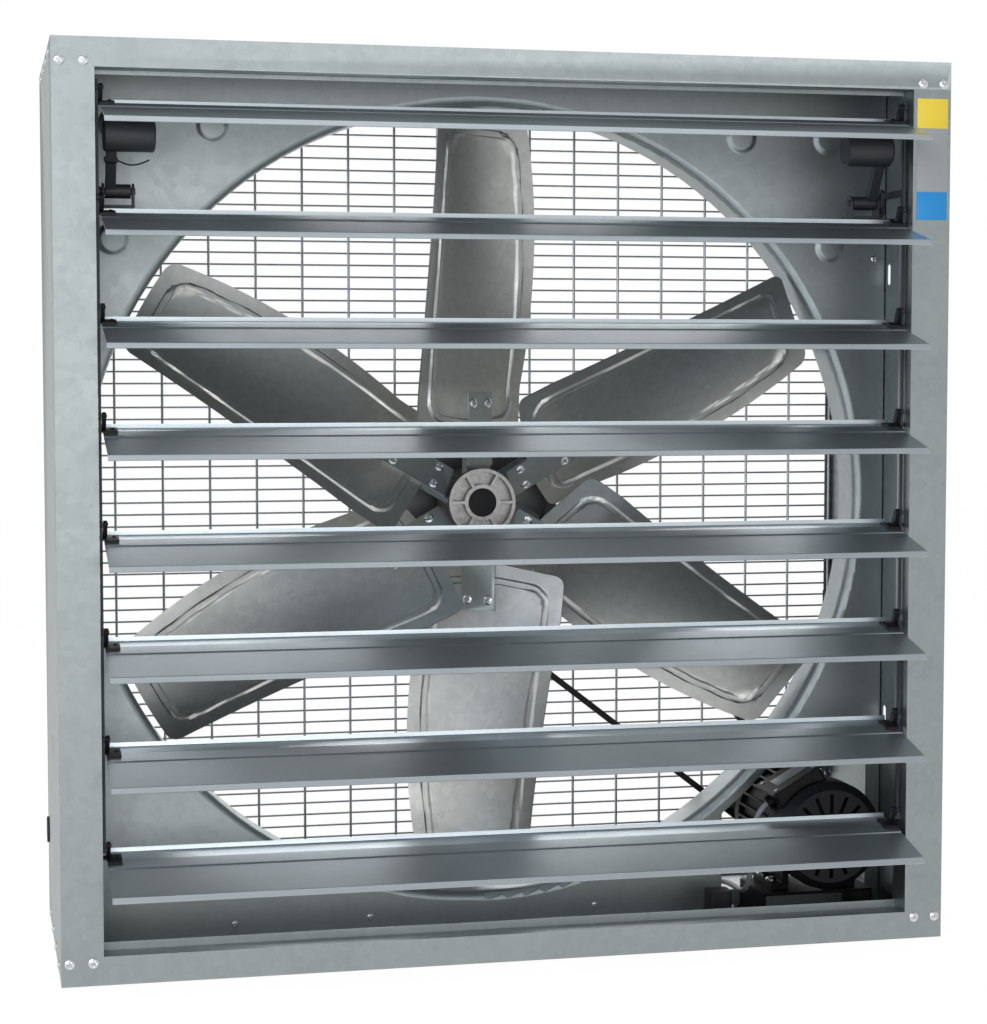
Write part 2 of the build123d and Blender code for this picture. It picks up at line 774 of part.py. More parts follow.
def hammer_weight(side):
    inner = hammer_weight_outer - hammer_weight_length
    weight = round_x(hammer_weight_radius, inner, hammer_weight_outer, weight_y, weight_z)
    weight = chamfer(weight.edges(), hammer_weight_edge)
    return on_side(side, weight)


for name, side in sides.items():
    save(f"link_rod_{name}", link_rod(side))
    save(f"hammer_bracket_{name}", hammer_bracket(side))
    save(f"hammer_arm_{name}", hammer_arm(side))
    save(f"hammer_weight_{name}", hammer_weight(side))

# Impeller, drawn with the first blade along +X
blade_y = at_depth(blade_depth)
section_radii = [arm_start, arm_end, (arm_end + blade_tip_radius) / 2, blade_tip_radius + outline_margin]
section_chords = [root_chord, inner_chord, outer_chord, tip_chord]
section_angles = [root_angle, root_angle, outer_angle, tip_angle]
section_shifts = [root_shift, inner_shift, outer_shift, tip_shift]
section_cambers = [0, 0, outer_camber, tip_camber]


def round_about(angle, shape):
    # Turns a shape about the fan's axis, from +X towards +Z.
    return Pos(0, 0, ring_centre_height) * Rot(0, -angle, 0) * shape


def blade_section(radius, chord, angle, shift, camber):
    # A slice of the bent sheet at one radius, made wider than the blade on both edges.
    across = (-sin(radians(angle)), cos(radians(angle)))
    towards = (-cos(radians(angle)), -sin(radians(angle)))

    def point(side, depth):
        y = blade_y + side * across[0] + depth * towards[0]
        return radius, y, side * across[1] + depth * towards[1]

    half = chord / 2 + outline_margin
    ends = (shift + half, shift, shift - half)
    front = [point(ends[0], 0), point(ends[1], -camber), point(ends[2], 0)]
    back = [point(ends[2], -blade_sheet), point(ends[1], -camber - blade_sheet), point(ends[0], -blade_sheet)]

    def stretch(points):
        if camber == 0:
            return Line(points[0], points[2])
        return ThreePointArc(*points)

    edges = [stretch(front), Line(front[2], back[0]), stretch(back), Line(back[2], front[0])]
    return make_face(Wire([edge.edge() for edge in edges]))


def blade_outline():
    # The blade's edge seen along the axis, as a face in x and z.
    ends = {1: [], -1: []}
    for radius, chord, angle, shift in zip(section_radii, section_chords, section_angles, section_shifts):
        for side in ends:
            ends[side].append((radius, (shift + side * chord / 2) * cos(radians(angle))))
    edges = [Line(ends[1][-1], ends[-1][-1]), Line(ends[-1][0], ends[1][0])]
    for side in ends:
        edges += [Line(*ends[side][:2]), Spline(*ends[side][1:])]
    strip = make_face(Wire([edge.edge() for edge in edges]))
    far = 2 * blade_tip_radius
    root = polygon([(far, far), (blade_root_radius + blade_root_rise, root_chord / 2),
                    (blade_root_radius, arm_width / 2), (blade_root_radius, -arm_width / 2),
                    (blade_root_radius + blade_root_rise, -root_chord / 2), (far, -far)])
    face = (strip & root & Circle(blade_tip_radius)).face()
    corners = [vertex for vertex in face.vertices() if abs(vertex.Y) > arm_width]
    return fillet(corners, corner_round)


def blade():
    sections = [blade_section(*values) for values in zip(section_radii, section_chords, section_angles,
                                                         section_shifts, section_cambers)]
    sheet = loft(sections[:2], ruled=True) + loft(sections[1:])
    solid = sheet & along_y(blade_outline(), front_y, rear_y)
    hole = round_z(blade_bolt_radius + running_fit, -pad_thickness, arm_sheet, 0, 0)
    for radius, reach in blade_bolt_places[2:]:
        solid -= on_blade(radius, reach, hole)
    return solid


slant = radians(root_angle)
blade_normal = (0, -cos(slant), -sin(slant))
blade_plane = Plane(origin=(0, blade_y, 0), x_dir=(1, 0, 0), z_dir=blade_normal)
blade_bolt_places = [(radius, reach) for radius in (blade_bolt_inner, blade_bolt_outer)
                     for reach in (-blade_bolt_reach, blade_bolt_reach)]
blade_angles = [360 / blade_count * (n + 0.5) for n in range(blade_count)]


def on_blade(radius, reach, shape):
    # Places a shape on the flat root of the first blade, its +Z towards the shutters.
    return blade_plane.location * Pos(radius, reach, 0) * shape


def star_arms():
    front = blade_gap + arm_sheet
    arm = on_blade(0, 0, block(arm_start, arm_end, -arm_width / 2, arm_width / 2, blade_gap, front))
    bolts = []
    for radius, reach in blade_bolt_places:
        arm -= on_blade(radius, reach, round_z(blade_bolt_radius + running_fit, 0, front, 0, 0))
        bolt = screw("+z", 0, 0, front, blade_bolt_head, blade_bolt_head_height, blade_bolt_radius,
                     front + pad_thickness / 2)
        bolts.append(on_blade(radius, reach, bolt))
    arms = [round_about(angle, arm) for angle in blade_angles]
    return arms, [round_about(angle, bolt) for angle in blade_angles for bolt in bolts]


arms, blade_bolts = star_arms()
save("star_arms", *arms)
save("blade_bolts", *blade_bolts)
first_blade = blade()
for number, angle in enumerate(blade_angles, start=1):
    save(f"fan_blade_{number}", round_about(angle, first_blade))


def hub():
    front, rear = at_depth(hub_front_depth), at_depth(hub_rear_depth)
    body = round_y(hub_radius, front, rear, 0, 0)
    for angle in blade_angles:
        pad = block(hub_recess_inner, pad_end, -arm_width / 2, arm_width / 2, -pad_thickness,
                    blade_gap - clip_seat)
        pad = on_blade(0, 0, pad)
        pad -= round_y((hub_recess_outer + hub_radius) / 2, front_y, rear_y, 0, 0)
        for radius, reach in blade_bolt_places[:2]:
            hole = round_z(blade_bolt_radius + running_fit, -pad_thickness, blade_gap, 0, 0)
            pad -= on_blade(radius, reach, hole)
        body += Rot(0, -angle, 0) * pad
    recess = round_y(hub_recess_outer, front, front + hub_recess_depth, 0, 0)
    recess -= round_y(hub_recess_inner, front, front + hub_recess_depth, 0, 0)
    for n in range(blade_count):
        rib = block(hub_recess_inner - hub_rib_width, hub_radius, front, front + hub_recess_depth,
                    -hub_rib_width / 2, hub_rib_width / 2)
        recess -= Rot(0, -360 / blade_count * n, 0) * rib
    body -= recess
    body -= round_y(bearing_land, front, rear, 0, 0)
    seat = bearing_outer_radius + press_gap
    body -= round_y(seat, front, front + bearing_inset + bearing_width, 0, 0)
    body -= round_y(seat, rear - bearing_inset - bearing_width, rear, 0, 0)
    body -= round_y(cap_radius + press_gap, front, front + cap_height, 0, 0)
    for n in range(pulley_bolt_count):
        x, z = pulley_bolt_place(n)
        body -= round_y(pulley_bolt_radius + running_fit, rear - pulley_bolt_depth, rear, x, z)
    return round_about(0, body)


def pulley_bolt_place(n):
    angle = radians(360 / pulley_bolt_count * n)
    return pulley_bolt_circle * cos(angle), pulley_bolt_circle * sin(angle)


def bearing(front):
    body = round_y(bearing_outer_radius, front, front + bearing_width, 0, 0)
    body -= round_y(bearing_bore_radius, front, front + bearing_width, 0, 0)
    return round_about(0, body)


save("hub", hub())
hub_front, hub_rear = at_depth(hub_front_depth), at_depth(hub_rear_depth)
save("ball_bearings", bearing(hub_front + bearing_inset), bearing(hub_rear - bearing_inset - bearing_width))
cap = round_y(cap_radius, hub_front, hub_front + cap_height, 0, 0)
cap += Pos(0, hub_front, 0) * facing["-y"] * dome(cap_radius, cap_height / 2)
save("hub_cap", round_about(0, cap))

# Belt drive
belt_y = at_depth(belt_depth)
pulley_angle = degrees(atan2(motor_height - ring_centre_height, motor_x))
pulley_distance = hypot(motor_x, motor_height - ring_centre_height)
tangent_angle = degrees(acos((big_pitch_radius - small_pitch_radius) / pulley_distance))
free_length = sqrt(pulley_distance ** 2 - (big_pitch_radius - small_pitch_radius) ** 2)


def groove_section(pitch_radius, gap, outer_extra):
    # The belt's wedge at one pulley as (radius, y) points, grown by a gap.
    top = pitch_radius + belt_rise
    bottom = top - belt_height
    slope = (belt_top_width - belt_bottom_width) / 2 / belt_height
    top_half = belt_top_width / 2 + gap + slope * outer_extra
    bottom_half = belt_bottom_width / 2 + gap
    return [(top + outer_extra, belt_y - top_half), (top + outer_extra, belt_y + top_half),
            (bottom - gap, belt_y + bottom_half), (bottom - gap, belt_y - bottom_half)]


def pulley(pitch_radius, outline, bore):
    body = turned(outline)
    body -= turned(groove_section(pitch_radius, belt_gap, groove_extra))
    return body - round_y(bore, front_y, rear_y + casing_depth, 0, 0)


def big_pulley():
    rim = big_pitch_radius + belt_rise + groove_extra
    rim_inner = rim - belt_height - groove_extra - pulley_rim
    web = web_thickness / 2
    half = rim_width / 2
    boss = hub_rear + clip_seat
    outline = [(0, boss), (pulley_boss_radius, boss), (pulley_boss_radius, belt_y - web),
               (rim_inner, belt_y - web), (rim_inner, belt_y - half), (rim, belt_y - half),
               (rim, belt_y + half), (rim_inner, belt_y + half), (rim_inner, belt_y + web), (0, belt_y + web)]
    body = pulley(big_pitch_radius, outline, pulley_bore_radius)
    bolts = []
    for n in range(pulley_bolt_count):
        x, z = pulley_bolt_place(n)
        body -= round_y(pulley_bolt_radius + running_fit, boss, belt_y + web, x, z)
        length = belt_y + web - hub_rear + pulley_bolt_depth / 2
        bolts.append(screw("+y", x, belt_y + web, z, pulley_bolt_head, pulley_bolt_head_height,
                           pulley_bolt_radius, length))
    return [round_about(0, piece) for piece in [body, *bolts]]


def motor_pulley():
    rim = small_pitch_radius + belt_rise + groove_extra
    half = rim_width / 2
    outline = [(0, belt_y - half), (rim, belt_y - half), (rim, belt_y + half), (0, belt_y + half)]
    body = pulley(small_pitch_radius, outline, shaft_radius + press_gap)
    return Pos(motor_x, 0, motor_height) * body


def belt():
    # Two arcs and two straight runs, drawn with both pulley centres on the X axis.
    big, small = (Plane.XY * polygon(groove_section(radius, 0, 0))
                  for radius in (big_pitch_radius, small_pitch_radius))
    wrap = 360 - 2 * tangent_angle
    loop = Rot(0, tangent_angle, 0) * revolve(big, Axis.Y, revolution_arc=wrap)
    loop += Pos(pulley_distance, 0, 0) * Rot(0, -tangent_angle, 0) * revolve(small, Axis.Y,
                                                                          revolution_arc=360 - wrap)
    loop += Rot(0, -tangent_angle, 0) * extrude(big, amount=-free_length)
    loop += Rot(0, tangent_angle, 0) * extrude(big, amount=free_length)
    return round_about(pulley_angle, loop)


save("big_pulley", *big_pulley())
save("motor_pulley", motor_pulley())
save("drive_belt", belt())

# Beam and fixed axle
beam_web = beam_y + beam_sheet


def support_beam():
    half = beam_width / 2
    rear = beam_y + beam_flange
    body = block(-half, half, beam_y, beam_web, beam_bottom, beam_top)
    for side in (-1, 1):
        body += block(side * half, side * (half - beam_sheet), beam_y, rear, beam_bottom, beam_top)
    for low, high in ((beam_bottom, beam_bottom + beam_sheet), (beam_top - beam_sheet, beam_top)):
        foot = block(-half, half, beam_y, rear, low, high)
        for x in beam_screw_places:
            foot -= round_z(screw_radius + running_fit, low, high, x, beam_screw_y)
        body += foot
    return body - round_y(axle_radius + running_fit, beam_y, beam_web, 0, ring_centre_height)


def axle():
    front = hub_front + bearing_inset - cap_height
    nut = along_y(RegularPolygon(axle_nut_radius, 6), beam_web, beam_web + axle_nut_thickness)
    body = round_y(axle_radius, front, beam_web + axle_nut_thickness + axle_radius, 0, 0)
    body += round_y(axle_collar_radius, beam_y - axle_collar_thickness, beam_y, 0, 0)
    return round_about(0, body + nut)


save("support_beam", support_beam())
save("axle", axle())

# Motor
cover_rear = at_depth(motor_front_depth + fan_cover_depth)
stator_front = cover_rear + shield_depth
stator_rear = stator_front + stator_depth
shield_rear = stator_rear + shield_depth
motor_foot_front = stator_front + fin_width
motor_foot_rear = motor_foot_front + motor_foot_depth
motor_bolt_depths = [motor_foot_front + mount_bolt_inset, motor_foot_rear - mount_bolt_inset]


def at_motor(shape):
    return Pos(motor_x, 0, motor_height) * shape


def motor_body():
    body = round_y(shield_radius, cover_rear - fan_cover_round, stator_front, 0, 0)
    body += round_y(stator_radius, stator_front, stator_rear, 0, 0)
    body += round_y(shield_radius, stator_rear, shield_rear, 0, 0)
    body += round_y(shaft_flange, shield_rear, shield_rear + fin_height, 0, 0)
    fin = block(stator_radius - fin_height, stator_radius + fin_height, stator_front, stator_rear,
                -fin_width / 2, fin_width / 2)
    body += [Rot(0, 360 / fin_count * n, 0) * fin for n in range(fin_count)]
    low = mount_top + clip_seat - motor_height
    for side in (-1, 1):
        x0, x1 = side * (motor_foot_reach - motor_foot_width), side * motor_foot_reach
        foot = block(x0, x1, motor_foot_front, motor_foot_rear, low, low + motor_foot_height)
        x2 = side * (motor_foot_reach - motor_foot_width * 2 / 3)
        foot += block(x0, x2, motor_foot_front, motor_foot_rear, low, -stator_radius / 2)
        for y in motor_bolt_depths:
            hole = mount_bolt_radius + running_fit
            foot -= round_z(hole, low, low + motor_foot_height, side * motor_bolt_x, y)
        body += foot
    body -= round_y(shaft_radius + running_fit, stator_rear - shield_depth, rear_y, 0, 0)
    return at_motor(body)


motor_bolt_x = motor_foot_reach - motor_foot_width / 4


def motor_fan_cover():
    front = at_depth(motor_front_depth)
    inner = shield_radius + clip_seat
    outline = [(0, front), (fan_cover_radius - fan_cover_round, front),
               (fan_cover_radius, front + fan_cover_round), (fan_cover_radius, cover_rear),
               (inner, cover_rear), (inner, front + fan_cover_round),
               (fan_cover_radius - fan_cover_round - fan_cover_wall / 2, front + fan_cover_wall),
               (0, front + fan_cover_wall)]
    body = turned(outline)
    slot = block(fan_cover_slot_inner, fan_cover_slot_outer, front, front + fan_cover_wall,
                 -fan_cover_slot_width / 2, fan_cover_slot_width / 2)
    body -= [Rot(0, 360 / fan_cover_slot_count * n, 0) * slot for n in range(fan_cover_slot_count)]
    return at_motor(body)


def motor_shaft():
    return at_motor(round_y(shaft_radius, stator_rear - shield_depth / 2, belt_y + rim_width, 0, 0))


def on_box(shape):
    # Places a shape drawn upwards from the motor's axis on the tilted terminal box.
    return at_motor(Rot(0, -box_tilt, 0) * shape)


box_front = at_depth(box_front_depth)
box_rear = box_front + box_depth
box_lid_base = box_reach - box_lid
gland_height = box_lid_base - box_height / 2


def terminal_box():
    half = box_width / 2
    body = block(-half, half, box_front, box_rear, box_reach - box_height, box_lid_base)
    body = fillet(body.edges().filter_by(Axis.Z), box_round)
    lid = block(-half - clip_thickness, half + clip_thickness, box_front - clip_thickness,
                box_rear + clip_thickness, box_lid_base, box_reach)
    body += fillet(lid.edges().filter_by(Axis.Z) + lid.faces().sort_by(Axis.Z)[-1].edges(), box_lid / 2)
    saddle = block(-half + box_round, half - box_round, box_front + box_round, box_rear - box_round,
                   stator_radius / 2, box_reach - box_height)
    body += saddle
    gland_y = (box_front + box_rear) / 2
    body += round_x(gland_radius, -half - gland_length, -half, gland_y, gland_height)
    hole = lead_radius + lead_clear
    body -= round_x(hole, -half - gland_length, -half, gland_y, gland_height)
    body -= round_y(fan_cover_radius + belt_gap, front_y, stator_front, 0, 0)
    body -= round_y(stator_radius + fin_height + belt_gap, stator_front, rear_y, 0, 0)
    return on_box(body)


def motor_mount():
    # A raised seat with two legs and outward feet, and the bolts to the motor above and the deck below.
    half = mount_width / 2
    body = block(-half, half, mount_front, mount_rear, mount_top - mount_sheet, mount_top)
    bolts = []
    for side in (-1, 1):
        body += block(side * half, side * (half - mount_sheet), mount_front, mount_rear, mount_low, mount_top)
        body += block(side * half, side * (half + mount_foot_width), mount_front, mount_rear,
                      mount_low, mount_low + mount_sheet)
        for y in motor_bolt_depths:
            x = side * motor_bolt_x
            body -= round_z(mount_bolt_radius + running_fit, mount_top - mount_sheet, mount_top, x, y)
            top = mount_top + clip_seat + motor_foot_height
            bolts.append(screw("+z", x, y, top, mount_bolt_head, mount_bolt_head_height, mount_bolt_radius,
                               top - mount_top + mount_sheet))
    body = Pos(motor_x, 0, 0) * body
    bolts = [Pos(motor_x, 0, 0) * bolt for bolt in bolts]
    for x, y in mount_bolt_places:
        top = mount_low + mount_sheet
        body -= round_z(mount_bolt_radius + running_fit, mount_low, top, x, y)
        bolts.append(screw("+z", x, y, top, mount_bolt_head, mount_bolt_head_height, mount_bolt_radius, top))
    return body, bolts


def foot_block():
    # The rubber block that keeps the lead beside the motor.
    front = at_depth(foot_block_depth)
    body = block(foot_block_x, foot_block_x + foot_block_width, front, front + foot_block_width, mount_low,
                 mount_low + foot_block_height)
    return fillet(body.edges().filter_by(Axis.Z), foot_block_round)


save("motor_body", motor_body())
save("motor_fan_cover", motor_fan_cover())
save("motor_shaft", motor_shaft())
save("motor_terminal_box", terminal_box())
seat, seat_bolts = motor_mount()
save("motor_mount", seat)
save("frame_screws", *frame_screws, *seat_bolts)

# Lead from the terminal box along the deck to its grommet in the left side panel
gland_place = Pos(-(box_width + gland_length) / 2, (box_front + box_rear) / 2, gland_height)
lead_start = on_box(gland_place * Sphere(lead_radius)).center()


def rounded_route(start, route):
    # Straight runs joined by arcs. Each place on the route carries its bend radius.
    places = [tuple(start)] + [(x, at_depth(depth), z) for x, depth, z, bend in route]
    edges = []
    last = Vector(*places[0])
    for n in range(1, len(places) - 1):
        here = Vector(*places[n])
        back = (Vector(*places[n - 1]) - here).normalized()
        ahead = (Vector(*places[n + 1]) - here).normalized()
        half = back.get_angle(ahead) / 2
        bend = route[n - 1][3]
        reach = bend / tan(radians(half))
        enter, leave = here + back * reach, here + ahead * reach
        middle = (back + ahead).normalized()
        crown = here + middle * (bend / sin(radians(half)) - bend)
        edges += [Line(last, enter), ThreePointArc(enter, crown, leave)]
        last = leave
    edges.append(Line(last, Vector(*places[-1])))
    return Wire([edge.edge() for edge in edges])


def swept_lead():
    path = rounded_route(lead_start, lead_route)
    section = Plane(origin=path @ 0, z_dir=path % 0) * Circle(lead_radius)
    return sweep(section, path)


def grommet():
    x = -half_width
    y = at_depth(outlet_depth)
    body = round_x(outlet_radius + grommet_wall - clip_seat, x - grommet_flange_thickness,
                   x + casing_sheet + grommet_flange_thickness, y, outlet_rise)
    flange = outlet_radius + grommet_wall + grommet_flange
    body += round_x(flange, x - grommet_flange_thickness, x - clip_seat, y, outlet_rise)
    inside = x + casing_sheet + clip_seat
    body += round_x(flange, inside, inside + grommet_flange_thickness, y, outlet_rise)
    hole_start = x - 2 * grommet_flange_thickness
    return body - round_x(lead_radius + lead_clear, hole_start, inside + flange, y, outlet_rise)


save("motor_lead", swept_lead())
save("cable_grommet", grommet(), foot_block())

# Wire guard behind the impeller
guard_half = inner_half_width - guard_edge_gap
guard_low, guard_high = beam_bottom, beam_top
guard_y = rear_y - casing_sheet - clip_seat


def guard_bars():
    # Horizontal wires, one above the other in one plane.
    room = guard_high - guard_low - guard_bar
    count = int(room / guard_bar_pitch)
    bars = []
    for n in range(count + 1):
        low = guard_low + room / count * n
        bars.append(block(-guard_half, guard_half, guard_y - guard_bar, guard_y, low, low + guard_bar))
    return bars


def guard_wires():
    # Upright wires that are welded to the front of the bars, with a wider one along both sides.
    rear = guard_y - guard_bar - clip_seat
    front = rear - guard_wire
    first = ceil((-guard_half + guard_border + guard_wire - guard_wire_offset) / guard_wire_pitch)
    last = floor((guard_half - guard_border - guard_wire - guard_wire_offset) / guard_wire_pitch)
    wires = []
    for n in range(first, last + 1):
        x = guard_wire_offset + guard_wire_pitch * n
        wires.append(block(x - guard_wire / 2, x + guard_wire / 2, front, rear, guard_low, guard_high))
    for edge in (-guard_half, guard_half - guard_border):
        wires.append(block(edge, edge + guard_border, front, rear, guard_low, guard_high))
    return wires


def guard_clips():
    # Angle clips on the side panels that hold the guard against the hem.
    clips = []
    front = guard_y - guard_bar - guard_wire - 2 * clip_seat
    for side in (-1, 1):
        wall = side * (inner_half_width - clip_seat)
        for share in guard_clip_shares:
            z = casing_size * share
            z0, z1 = z - guard_clip_length / 2, z + guard_clip_length / 2
            clip = block(wall, wall - side * guard_clip_sheet, front - guard_clip_reach, front, z0, z1)
            clip += block(wall, wall - side * guard_clip_reach, front - guard_clip_sheet, front, z0, z1)
            clips.append(clip)
    return clips


guard_clip_shares = [guard_clip_share / 2, 0.5 - guard_clip_share / 2, 0.5 + guard_clip_share / 2,
                     1 - guard_clip_share / 2]
save("guard_bars", *guard_bars())
save("guard_wires", *guard_wires())
save("guard_clips", *guard_clips())
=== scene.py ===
# %% [markdown]
# # A louvred extractor fan
# The object is a square box of galvanised sheet with a shutter of tilting blades in front, a belt driven
# impeller in a ring, and a wire guard behind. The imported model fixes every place, so this file only gives
# the pieces their fine shape and their finish. Sizes are in millimetres and mm turns them to metres. Only
# the lamps and the floor are placed in metres.

# %% Load the fixed frame
from math import cos, hypot, pi, radians, sin, sqrt, tan
import bmesh
import bpy
from mathutils import Matrix, Vector


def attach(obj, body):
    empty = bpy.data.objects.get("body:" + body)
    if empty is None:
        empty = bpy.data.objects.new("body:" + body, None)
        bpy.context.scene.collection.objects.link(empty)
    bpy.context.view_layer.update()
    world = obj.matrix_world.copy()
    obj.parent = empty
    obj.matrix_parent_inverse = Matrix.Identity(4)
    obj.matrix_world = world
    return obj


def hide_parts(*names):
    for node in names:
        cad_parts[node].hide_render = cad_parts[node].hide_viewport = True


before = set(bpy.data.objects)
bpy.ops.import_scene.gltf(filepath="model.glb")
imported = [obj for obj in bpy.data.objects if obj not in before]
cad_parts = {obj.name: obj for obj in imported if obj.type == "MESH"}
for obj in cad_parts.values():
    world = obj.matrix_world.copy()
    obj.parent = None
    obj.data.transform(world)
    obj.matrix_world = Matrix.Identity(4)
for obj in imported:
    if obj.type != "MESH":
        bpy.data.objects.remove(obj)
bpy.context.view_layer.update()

mm = 0.001
front_y = -200.0
half_width = 550.0
casing_height = 1100.0
ring_centre = 548.0

# %% [markdown]
# ## Camera
# The photograph was taken from the front, a little to the left and just above the middle. The place and
# the lens come from lining up the corners of the casing, so a point of the model lands on its pixel.

# %% Camera
photo_height = 1024
focal_pixels = 2311.1
camera_place = (-647.9, -2901.0, 727.0)
yaw, pitch = radians(12.82), radians(3.67)

camera_data = bpy.data.cameras.new("photo_camera")
camera_data.sensor_fit = "VERTICAL"
camera_data.sensor_height = 36.0
camera_data.lens = focal_pixels / photo_height * camera_data.sensor_height
camera_data.clip_end = 50.0
camera = bpy.data.objects.new("photo_camera", camera_data)
camera.location = Vector(camera_place) * mm
sight = Vector((sin(yaw) * cos(pitch), cos(yaw) * cos(pitch), -sin(pitch)))
camera.rotation_euler = sight.to_track_quat("-Z", "Y").to_euler()
bpy.context.collection.objects.link(camera)
bpy.context.scene.camera = camera
bpy.context.scene.view_settings.view_transform = "Standard"
print("lens in mm:", round(camera_data.lens, 2))

# %% [markdown]
# ## Nodes with one small helper
# A material or a Geometry Nodes tree is a list of nodes and links. One function adds any node, sets its
# options, and fills each input with a number or with another node's output. The other functions say what
# a pattern does to a finish: it blends two colours, spreads the roughness, or raises the surface.

# %% Node helper and colours
def add(tree, kind, inputs=None, **settings):
    node = tree.nodes.new(kind)
    for name, value in settings.items():
        setattr(node, name, value)
    for key, value in (inputs or {}).items():
        if isinstance(value, bpy.types.NodeSocket):
            tree.links.new(value, node.inputs[key])
        else:
            node.inputs[key].default_value = value
    return node


def colour(code):
    # An sRGB hex value as the linear colour that Blender works in.
    parts = [int(code[i:i + 2], 16) / 255 for i in (1, 3, 5)]
    return [c / 12.92 if c <= 0.04045 else ((c + 0.055) / 1.055) ** 2.4 for c in parts] + [1.0]


def start_finish(name, base, metallic, roughness):
    # A new material, its tree, its shader and the place on the object that patterns read.
    material = bpy.data.materials.new(name)
    material.use_nodes = True
    tree = material.node_tree
    shader = tree.nodes["Principled BSDF"]
    shader.inputs["Base Color"].default_value = colour(base)
    shader.inputs["Metallic"].default_value = metallic
    shader.inputs["Roughness"].default_value = roughness
    place = add(tree, "ShaderNodeTexCoord").outputs["Object"]
    return material, tree, shader, place


def noise(tree, place, per_metre, detail=3.0):
    # A soft pattern that runs from 0 to 1.
    clouds = add(tree, "ShaderNodeTexNoise", {"Vector": place, "Scale": per_metre, "Detail": detail})
    return clouds.outputs["Fac"]


def blend_colours(tree, shader, pattern, low, high):
    ramp = add(tree, "ShaderNodeValToRGB", {"Fac": pattern})
    ramp.color_ramp.elements[0].color = colour(low)
    ramp.color_ramp.elements[1].color = colour(high)
    tree.links.new(ramp.outputs["Color"], shader.inputs["Base Color"])


def spread_roughness(tree, shader, pattern, low, high):
    band = add(tree, "ShaderNodeMapRange", {"Value": pattern, "To Min": low, "To Max": high})
    tree.links.new(band.outputs["Result"], shader.inputs["Roughness"])


def raise_surface(tree, shader, pattern, depth):
    bump = add(tree, "ShaderNodeBump", {"Height": pattern, "Distance": depth * mm, "Strength": 1.0})
    tree.links.new(bump.outputs["Normal"], shader.inputs["Normal"])


# %% [markdown]
# ## Galvanised sheet
# Steel that was dipped in zinc and rolled smooth. The zinc freezes in flat crystals a few millimetres wide
# that each catch the light a little differently, and handling leaves broad soft clouds. So a Voronoi cell
# pattern and a slow noise shift the colour and the roughness by a few percent, and nothing stands up.

# %% Galvanised sheet
def galvanised(name, low, high, gloss, crystal=10.0, cloud=120.0, crystal_share=0.35):
    # crystal and cloud: the width of a crystal and of a cloud.
    material, tree, shader, place = start_finish(name, high, 1.0, gloss)
    cells = add(tree, "ShaderNodeTexVoronoi", {"Vector": place, "Scale": 1 / (crystal * mm)})
    cell_tone = add(tree, "ShaderNodeSeparateColor", {"Color": cells.outputs["Color"]}).outputs["Red"]
    clouds = noise(tree, place, 1 / (cloud * mm))
    tone = add(tree, "ShaderNodeMix", {"Factor": crystal_share, "A": clouds, "B": cell_tone},
               data_type="FLOAT").outputs["Result"]
    half_spread = 0.04
    blend_colours(tree, shader, tone, low, high)
    spread_roughness(tree, shader, tone, gloss + half_spread, gloss - half_spread)
    return material


casing_zinc = galvanised("hot_dip_galvanised_sheet", "#878E8F", "#949B9B", 0.42, crystal=9.0, cloud=60.0)
louvre_zinc = galvanised("rolled_galvanised_strip", "#B1BAC0", "#C4CDD3", 0.36, crystal=5.0,
                         crystal_share=0.15)
ring_zinc = galvanised("deep_drawn_galvanised_sheet", "#9BA2A3", "#A8AFAF", 0.46, crystal=9.0, cloud=60.0)
wire_zinc = galvanised("galvanised_wire", "#A6ABAE", "#BCC0C2", 0.45, crystal=3.0)
blade_steel = galvanised("pressed_galvanised_sheet", "#AEB0AD", "#CBCBC7", 0.40, crystal=9.0, cloud=60.0)
print("materials so far:", len(bpy.data.materials))

# %% [markdown]
# ## Bright screws, castings and black parts
# Zinc plated screws are brighter than the sheet. The hub is die cast aluminium with a sandy skin. The
# motor has a black powder coat with a fine orange peel, the hammers are phosphated to a dark grey, and the
# clips are moulded nylon.

# %% Small metals
def plain_metal(name, low, high, gloss, grain, depth):
    # grain: the width of a grain. depth: how far it stands up.
    material, tree, shader, place = start_finish(name, high, 1.0, gloss)
    grains = noise(tree, place, 1 / (grain * mm))
    blend_colours(tree, shader, grains, low, high)
    spread_roughness(tree, shader, grains, gloss - 0.05, gloss + 0.07)
    raise_surface(tree, shader, grains, depth)
    return material


screw_zinc = plain_metal("bright_zinc_plate", "#BFC2C4", "#D9DBDC", 0.24, 4.0, 0.01)
cast_hub = plain_metal("die_cast_aluminium", "#6A6A69", "#B0B0AE", 0.40, 5.0, 0.25)
bearing_steel = plain_metal("ground_bearing_steel", "#9A9C9E", "#B4B6B8", 0.2, 3.0, 0.01)
cast_pulley = plain_metal("turned_cast_iron", "#4A4C4E", "#66686A", 0.4, 2.5, 0.06)


# %% Coats, plastics and rubber
def coat(name, dark, light, gloss, grain, depth, specular=0.5):
    # A dielectric skin whose fine relief scatters its highlight. A matt skin has less specular.
    material, tree, shader, place = start_finish(name, dark, 0.0, gloss)
    shader.inputs["Specular IOR Level"].default_value = specular
    wear_per_metre = 14.0
    skin = noise(tree, place, 1 / (grain * mm))
    wear = noise(tree, place, wear_per_metre, detail=4.0)
    blend_colours(tree, shader, wear, dark, light)
    spread_roughness(tree, shader, wear, gloss - 0.06, gloss + 0.08)
    raise_surface(tree, shader, skin, depth)
    return material


